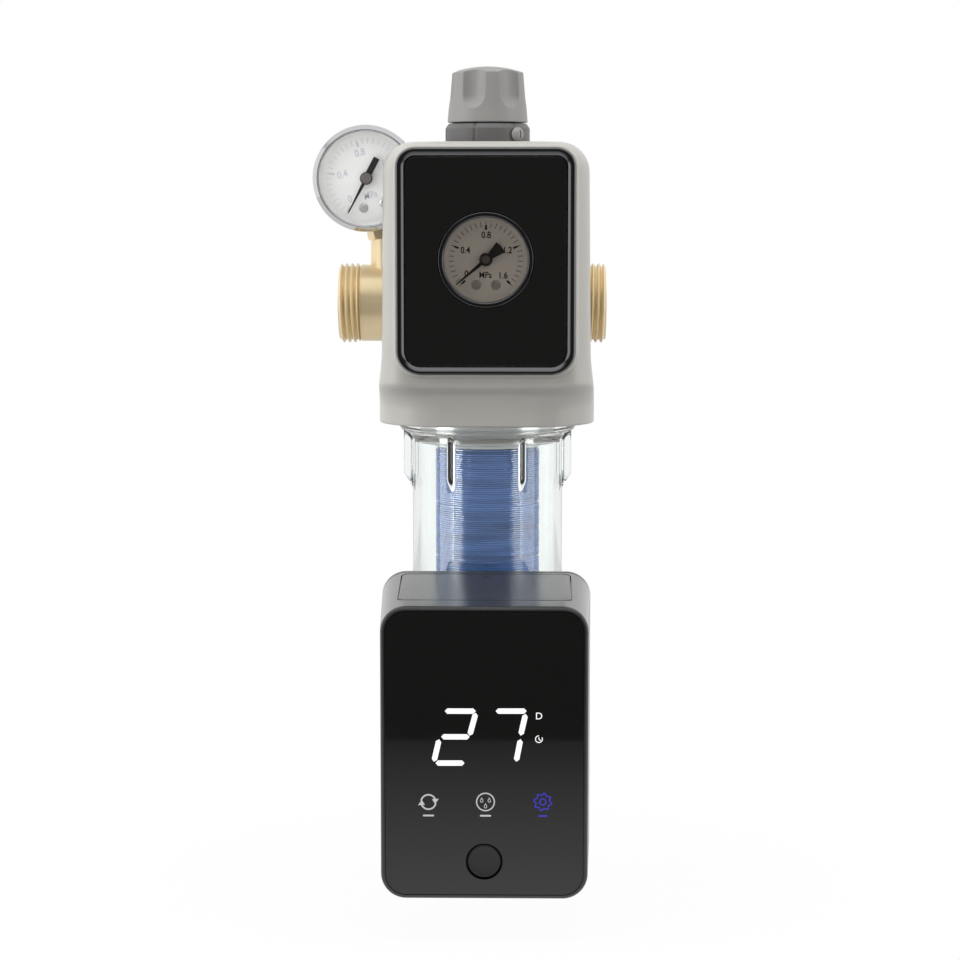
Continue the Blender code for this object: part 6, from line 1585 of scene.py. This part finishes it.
    def rear_shell(self) -> Shape:
        """The rear shell with its lip, its two posts and the holes for the valve."""
        turn = np.linspace(0.0, math.pi / 2, 7)
        y = np.concatenate([[self.seam_y, self.seam_y + 0.15, self.seam_y + 0.5],
                            self.back_y - 1.2 * (1 - np.sin(turn))])
        inset = np.concatenate([[0.25, 0.08, 0.0], 1.2 * (1 - np.cos(turn))])
        lip = solid(self.sections([self.seam_y + 1.0, -39.2], [2.9, 2.9]),
                    ("DIFFERENCE", self.sections([self.seam_y + 2.0, -40.2], [4.4, 4.4])))
        steps = [("UNION", lip)]
        for x in (-26.0, 34.5):
            post = turned(eased([(0.0, self.seam_y + 1.0, 0.0), (3.3, self.seam_y + 1.0, 0.0), (3.3, -44.7, 0.3),
                                 (1.6, -44.7, 0.1), (1.6, -47.8, 0.4), (0.0, -47.8, 0.0)]), Along.Y, 40)
            steps.append(("UNION", post.moved(x=x, z=self.valve_z)))
        for x, z in ((-16.5, self.valve_z + 10.5), (16.5, self.valve_z - 10.5)):
            steps.append(("DIFFERENCE", rod(1.8, -38.0, -33.0, Along.Y, steps=32).moved(x=x, z=z)))
        steps.append(("DIFFERENCE", rod(3.9, -38.0, -33.0, Along.Y).moved(z=self.valve_z)))
        return solid(self.sections(y, inset), *steps)

    def bar(self, start: tuple, end: tuple, width: float = 2.15) -> Shape:
        """A lit bar between two ends, with a point at each end."""
        first, last = np.array(start), np.array(end)
        way = (last - first) / np.linalg.norm(last - first)
        side = np.array([-way[1], way[0]]) * width / 2
        tip = way * width * 0.46
        outline = np.array([first, first + tip + side, last - tip + side, last, last - tip - side,
                            first + tip - side])
        return self.mark(outline)

    def mark(self, outline: np.ndarray) -> Shape:
        """A thin lit or printed shape on the glass."""
        return slab(outline, *self.mark_depths)

    def band(self, inner: np.ndarray, outer: np.ndarray) -> Shape:
        """A thin band on the glass between two outlines."""
        front, back = self.mark_depths
        return upright([(inner, front), (outer, front), (outer, back), (inner, back)])

    def ring(self, x: float, z: float, radius: float, width: float, start: float = 0.0,
             turn: float = 360.0) -> Shape:
        """A ring or a part of one, as a band between two arcs about a point."""
        closed = turn >= 360.0
        angle = np.radians(np.linspace(start, start + turn, 49, endpoint=not closed))
        arms = [np.stack([x + r * np.sin(angle), z + r * np.cos(angle)], axis=-1)
                for r in (radius - width / 2, radius + width / 2)]
        if not closed:
            return self.mark(np.concatenate([arms[0], arms[1][::-1]]))
        return self.band(*arms)

    def drop(self, x: float, z: float, height: float, width: float) -> Shape:
        """A water drop's outline: the half width is s (1 - s s) to a power, with s from tip to foot."""
        angle = np.linspace(0.0, math.tau, 33)[:-1]
        rise = np.cos(angle)
        reach = np.sin(angle) * ((1.0 - rise) / 2.0) ** 0.7
        outer = np.stack([x + 0.42 * height * reach, z + 0.5 * height * rise], axis=-1)
        share = 1.0 - 2.0 * width / height
        inner = np.stack([x + 0.42 * height * reach * share, z - 0.07 * height + 0.5 * height * rise * share],
                         axis=-1)
        return self.band(inner, outer)

    def cog(self, x: float, z: float, radius: float, width: float) -> Shape:
        """A wavy cog: the radius is R (1 + 0.11 wave), where wave is a squared-off sine of 8 turns."""
        angle = np.linspace(0.0, math.tau, 120, endpoint=False)
        wave = np.tanh(2.2 * np.sin(8.0 * angle))
        arms = []
        for base in (radius - width / 2, radius + width / 2):
            reach = base + 0.11 * radius * wave
            arms.append(np.stack([x + reach * np.sin(angle), z + reach * np.cos(angle)], axis=-1))
        return self.band(*arms)

    def underline(self, low: float, high: float) -> Shape:
        """The small bar under a sign, between two values of X."""
        return self.mark(rounded_loops((low, high), (-198.6, -197.9), (0.3,) * 4, 4)[0])

    def display(self) -> None:
        """Make the lit number, its unit, the clock and the three signs below."""
        bars = [
            self.bar((-15.5, -156.3), (-3.3, -156.3)), self.bar((-3.3, -156.95), (-5.75, -166.1)),
            self.bar((-16.95, -166.6), (-5.75, -166.6)), self.bar((-17.75, -167.6), (-19.8, -176.6)),
            self.bar((-19.2, -177.15), (-7.75, -177.1)), self.bar((4.5, -156.25), (16.65, -156.2)),
            self.bar((16.25, -157.3), (14.3, -166.0)), self.bar((14.3, -167.45), (12.55, -176.45)),
            lettering("D", 3.9, 0.05).moved(21.5, self.glass_y - 0.01, -158.3),
            self.ring(21.5, -167.4, 1.35, 0.34, 60.0, 300.0),
            self.bar((21.5, -166.6), (21.5, -167.6), 0.36), self.bar((21.45, -167.5), (22.3, -168.0), 0.36),
        ]
        made("display_number", bars[0].joined(*bars[1:]), FINISHES.digit)
        arrow = np.array([(-24.6, -192.0), (-26.1, -194.1), (-23.4, -194.0)])
        cycle = [
            self.ring(-22.0, -192.8, 2.9, 0.62, -80.0, 150.0),
            self.ring(-22.0, -192.8, 2.9, 0.62, 100.0, 150.0),
            self.mark(arrow), self.mark(np.array([-44.0, -385.6]) - arrow),
            self.ring(0.5, -192.7, 3.5, 0.5), self.drop(-1.0, -191.9, 2.1, 0.4),
            self.drop(2.0, -191.9, 2.1, 0.4), self.drop(0.5, -194.2, 2.1, 0.4),
            self.underline(-24.2, -19.8), self.underline(-1.7, 2.7),
        ]
        made("display_signs", cycle[0].joined(*cycle[1:]), FINISHES.dim)
        setting = [self.cog(23.1, -192.6, 3.1, 0.62), self.ring(23.1, -192.6, 1.2, 0.5),
                   self.underline(21.3, 24.9)]
        made("display_setting", setting[0].joined(*setting[1:]), FINISHES.violet)

    def build(self) -> None:
        """Make the shells, the glass, the display, the button and the cover, and refine what is inside."""
        dress("front_case", plain_mesh("front_case", self.front_shell()), FINISHES.case,
              stands_for=("controller_front_shell",), weighted=True)
        dress("rear_case", plain_mesh("rear_case", self.rear_shell()), FINISHES.case,
              stands_for=("controller_rear_shell",), weighted=True)
        outline = [self.glass_outline(inset) for inset in (0.3, 0.3, 0.36, 0.55)]
        plate = lofted(np.stack(outline), np.array([self.glass_back, -88.0, -88.14, self.glass_y]), Along.Y)
        hole = rod(self.button_r + 0.4, -89.0, -86.0, Along.Y, steps=128).moved(z=self.button_z)
        dress("display_glass", carved("display_glass", plate, ("DIFFERENCE", hole)), FINISHES.panel,
              stands_for=("display_panel",), weighted=True)
        self.display()
        button = turned(eased([
            (0.0, -87.15, 0.0), (4.2, -87.3, 2.0), (6.3, -87.6, 0.4), (6.9, -87.0, 0.4), (6.9, -84.1, 0.1),
            (8.6, -84.1, 0.2), (8.6, -82.7, 0.2), (0.0, -82.7, 0.0),
        ], steps=8), Along.Y, 144).moved(z=self.button_z)
        made("round_button", button, FINISHES.button, "button", ("push_button",))
        dress("battery_lid_plate", plain_mesh("battery_lid_plate", self.lid()), FINISHES.case, "battery_lid",
              ("battery_cover",), weighted=True)
        refined("circuit_board", FINISHES.board, 0.15)
        refined("display_module", FINISHES.pale, 0.4)
        refined("battery_tray", FINISHES.bonnet, 0.25)
        for index in range(1, 5):
            refined(f"battery_{index}", FINISHES.cell, 0.4)


# Studio


@dataclass
class Studio:
    """The pale floor, the soft boxes, the world and the camera."""

    floor_z: float = -250.0
    azimuth: float = 1.0
    elevation: float = 6.5
    distance: float = 1060.0
    aim: tuple = (-3.2, 0.0, -75.0)
    lens: float = 93.75
    floor_tones: tuple = (0.42, 0.95)
    floor_fade: tuple = (-0.46, -0.10)
    floor_mirrored: tuple = (0.15, 0.7)
    shadow_reach: tuple = (0.08, 0.2)
    shadow_share: tuple = (0.96, 1.0)
    side_span: tuple = (0.74, 0.86)
    side_light: tuple = (0.05, 0.9)
    above_span: tuple = (0.35, 0.75)
    above_light: tuple = (0.0, 0.8)
    behind_span: tuple = (-0.1, 0.4)
    behind_light: tuple = (0.0, 0.9)
    veil: float = 0.35
    fill: float = 0.3
    glass_lift: tuple = (1.0, 1.5)

    @staticmethod
    def ramp(tree: Tree, value: bpy.types.NodeSocket, span: tuple, levels: tuple,
             easing: str = "SMOOTHSTEP") -> bpy.types.NodeSocket:
        """A value mapped from a span to two levels, and held outside it."""
        return tree.add("MapRange", {"Value": value, "From Min": span[0], "From Max": span[1],
                                     "To Min": levels[0], "To Max": levels[1]},
                        interpolation_type=easing).outputs["Result"]

    def camera(self) -> None:
        """The camera, at the photograph's angle."""
        turn, rise = math.radians(self.azimuth), math.radians(self.elevation)
        back = Vector((math.sin(turn) * math.cos(rise), -math.cos(turn) * math.cos(rise), math.sin(rise)))
        data = bpy.data.cameras.new("camera")
        data.lens = self.lens
        data.sensor_width = 36.0
        data.clip_start = 0.01
        obj = bpy.data.objects.new("camera", data)
        obj.location = (Vector(self.aim) + back * self.distance) * MM
        obj.rotation_euler = back.to_track_quat("Z", "Y").to_euler()
        bpy.context.scene.collection.objects.link(obj)
        bpy.context.scene.camera = obj

    def bounces(self, tree: Tree) -> tuple:
        """Which light reaches a background: seen straight or through glass, and sent back by gloss."""
        rays = tree.add("LightPath")
        sent_back = tree.math("GREATER_THAN", rays.outputs["Glossy Depth"], 0.5)
        clear = tree.math("MULTIPLY", rays.outputs["Is Transmission Ray"],
                          tree.math("SUBTRACT", 1.0, sent_back))
        lift = self.ramp(tree, rays.outputs["Diffuse Depth"], (0.0, 1.0), self.glass_lift, "LINEAR")
        clear = tree.math("MULTIPLY", clear, lift)
        straight = tree.math("MAXIMUM", rays.outputs["Is Camera Ray"], clear)
        behind_glass = tree.math("MULTIPLY", rays.outputs["Is Transmission Ray"], sent_back)
        return rays, straight, tree.math("MAXIMUM", rays.outputs["Is Glossy Ray"], behind_glass)

    def floor(self) -> None:
        """A floor that is white to the camera, fades forwards in reflections, and keeps the shadow."""
        loop = np.array([(-900.0, -460.0), (900.0, -460.0), (900.0, 900.0), (-900.0, 900.0)])
        shape = lofted(np.stack([loop, loop]), np.array([self.floor_z - 5.0, self.floor_z]))
        mesh = plain_mesh("floor", shape)
        material = bpy.data.materials.new("pale floor")
        material.use_nodes = True
        nodes = material.node_tree.nodes
        tree = Tree(material.node_tree)
        shader = nodes["Principled BSDF"]
        shader.inputs["Roughness"].default_value = 0.9
        rays, straight, sent_back = self.bounces(tree)
        place = tree.add("TexCoord").outputs["Object"]
        bounced, seen = ((tone, tone, tone, 1.0) for tone in self.floor_tones)
        tone = tree.add("Mix", {0: rays.outputs["Is Camera Ray"], 6: bounced, 7: seen},
                        data_type="RGBA").outputs[2]
        material.node_tree.links.new(tone, shader.inputs["Base Color"])
        depth = tree.add("SeparateXYZ", {0: place}).outputs["Y"]
        fade = self.ramp(tree, depth, self.floor_fade, self.floor_mirrored, "LINEAR")
        flat = tree.add("VectorMath", {0: place, 1: (1.0, 1.0, 0.0)}, operation="MULTIPLY").outputs[0]
        away = tree.add("VectorMath", {0: flat}, operation="LENGTH").outputs["Value"]
        light = tree.math("MAXIMUM", straight, tree.math("MULTIPLY", sent_back, fade))
        glow = tree.add("Emission", {"Color": (1.0, 1.0, 1.0, 1.0), "Strength": light}).outputs[0]
        share = self.ramp(tree, away, self.shadow_reach, self.shadow_share)
        lit = tree.math("MAXIMUM", tree.math("MULTIPLY", straight, share), sent_back)
        mixed = tree.add("MixShader", {0: lit, 1: shader.outputs[0], 2: glow}).outputs[0]
        material.node_tree.links.new(mixed, nodes["Material Output"].inputs["Surface"])
        mesh.materials.append(material)
        obj = bpy.data.objects.new("floor", mesh)
        bpy.context.scene.collection.objects.link(obj)

    def world(self) -> None:
        """White behind the object; in reflections, bright at the sides and above and dark in front."""
        world = bpy.data.worlds.new("studio")
        world.use_nodes = True
        bpy.context.scene.world = world
        nodes = world.node_tree.nodes
        tree = Tree(world.node_tree)
        rays, straight, sent_back = self.bounces(tree)
        way = tree.add("SeparateXYZ", {0: tree.add("TexCoord").outputs["Generated"]})
        side = self.ramp(tree, tree.math("ABSOLUTE", way.outputs["X"]), self.side_span, self.side_light)
        above = self.ramp(tree, way.outputs["Z"], self.above_span, self.above_light)
        behind = self.ramp(tree, way.outputs["Y"], self.behind_span, self.behind_light)
        mirrored = tree.math("MAXIMUM", tree.math("MAXIMUM", side, above), behind)
        veiled = tree.math("MULTIPLY", rays.outputs["Is Transmission Ray"], self.veil)
        glossy = tree.math("MULTIPLY", sent_back, tree.math("MAXIMUM", mirrored, veiled))
        rest = tree.math("MULTIPLY", rays.outputs["Is Diffuse Ray"], self.fill)
        strength = tree.math("MAXIMUM", tree.math("MAXIMUM", straight, glossy), rest)
        world.node_tree.links.new(strength, nodes["Background"].inputs["Strength"])
        nodes["Background"].inputs["Color"].default_value = (1.0, 1.0, 1.0, 1.0)

    @staticmethod
    def lamp(name: str, place: tuple, size: tuple, power: float) -> None:
        """A soft box that faces the middle of the object; the world stands for it in reflections."""
        data = bpy.data.lights.new(name, "AREA")
        data.shape = "RECTANGLE"
        data.size, data.size_y = size[0] * MM, size[1] * MM
        data.energy = power
        obj = bpy.data.objects.new(name, data)
        obj.location = Vector(place) * MM
        toward = obj.location - Vector((0.0, 0.0, -75.0)) * MM
        obj.rotation_euler = toward.to_track_quat("Z", "Y").to_euler()
        obj.visible_glossy = False
        bpy.context.scene.collection.objects.link(obj)

    def build(self) -> None:
        """Make the whole studio."""
        view = bpy.context.scene.view_settings
        view.view_transform = "Standard"
        self.camera()
        self.floor()
        self.world()
        self.lamp("left_box", (-900.0, -350.0, 150.0), (500.0, 900.0), 6.8)
        self.lamp("right_box", (900.0, -350.0, 150.0), (500.0, 900.0), 4.2)
        self.lamp("top_box", (0.0, -250.0, 900.0), (900.0, 500.0), 5.4)
        LOG.info("studio: camera, floor, world and three soft boxes")


OUTLET_GAUGE = Gauge(
    name="outlet_gauge", hub=(0.0, -54.9, 19.35), tilt=0.0, ring_r=19.1, lip_r=17.0, case_r=18.2, depth=24.9,
    needle_turn=230.0, reach=15.0, tail=8.0, tail_half=2.6, body="outlet_pointer", window=FINISHES.smoked,
    case=FINISHES.steel, rim=FINISHES.black_chrome, ink=FINISHES.ink, fan_tail=True, scale=1.0, hexagon_r=7.0,
)
INLET_GAUGE = Gauge(
    name="inlet_gauge", hub=(-50.3, -14.0, 51.9), tilt=15.0, ring_r=22.0, lip_r=19.4, case_r=21.2, depth=26.0,
    needle_turn=222.8, reach=15.8, tail=9.4, tail_half=1.3, body="inlet_pointer", window=FINISHES.window,
    case=FINISHES.chrome, rim=FINISHES.chrome, ink=FINISHES.pale_ink, fan_tail=False, scale=1.14,
    hexagon_r=6.3,
)


def inner_nodes() -> None:
    """Refine the reducer's solids, and the spring, which rides on no body and has its place baked into its mesh.
    """
    for name, finish, bevel in (
        ("diaphragm", FINISHES.rubber, 0.2), ("diaphragm_plate", FINISHES.brass, 0.2),
        ("reducer_cartridge", FINISHES.brass, 0.2), ("spring_plate", FINISHES.brass, 0.2),
        ("adjusting_screw", FINISHES.steel, 0.2),
    ):
        refined(name, finish, bevel)
    spring = refined("range_spring", FINISHES.steel, rides=False)
    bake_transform(spring)


def main() -> None:
    """Build every sub-assembly in order, then the studio."""
    logging.basicConfig(level=logging.INFO, format="%(message)s")
    tilt = INLET_GAUGE.place
    Head().build(Matrix.Translation((tilt.translation.x, 0.0, tilt.translation.z)) @ tilt.to_3x3().to_4x4())
    Housing().build()
    FrontPanel().build()
    Reducer().build()
    OUTLET_GAUGE.build()
    INLET_GAUGE.build()
    Bowl().build()
    DrainValve().build()
    Controller().build()
    inner_nodes()
    Studio().build()


if __name__ == "__main__":
    main()
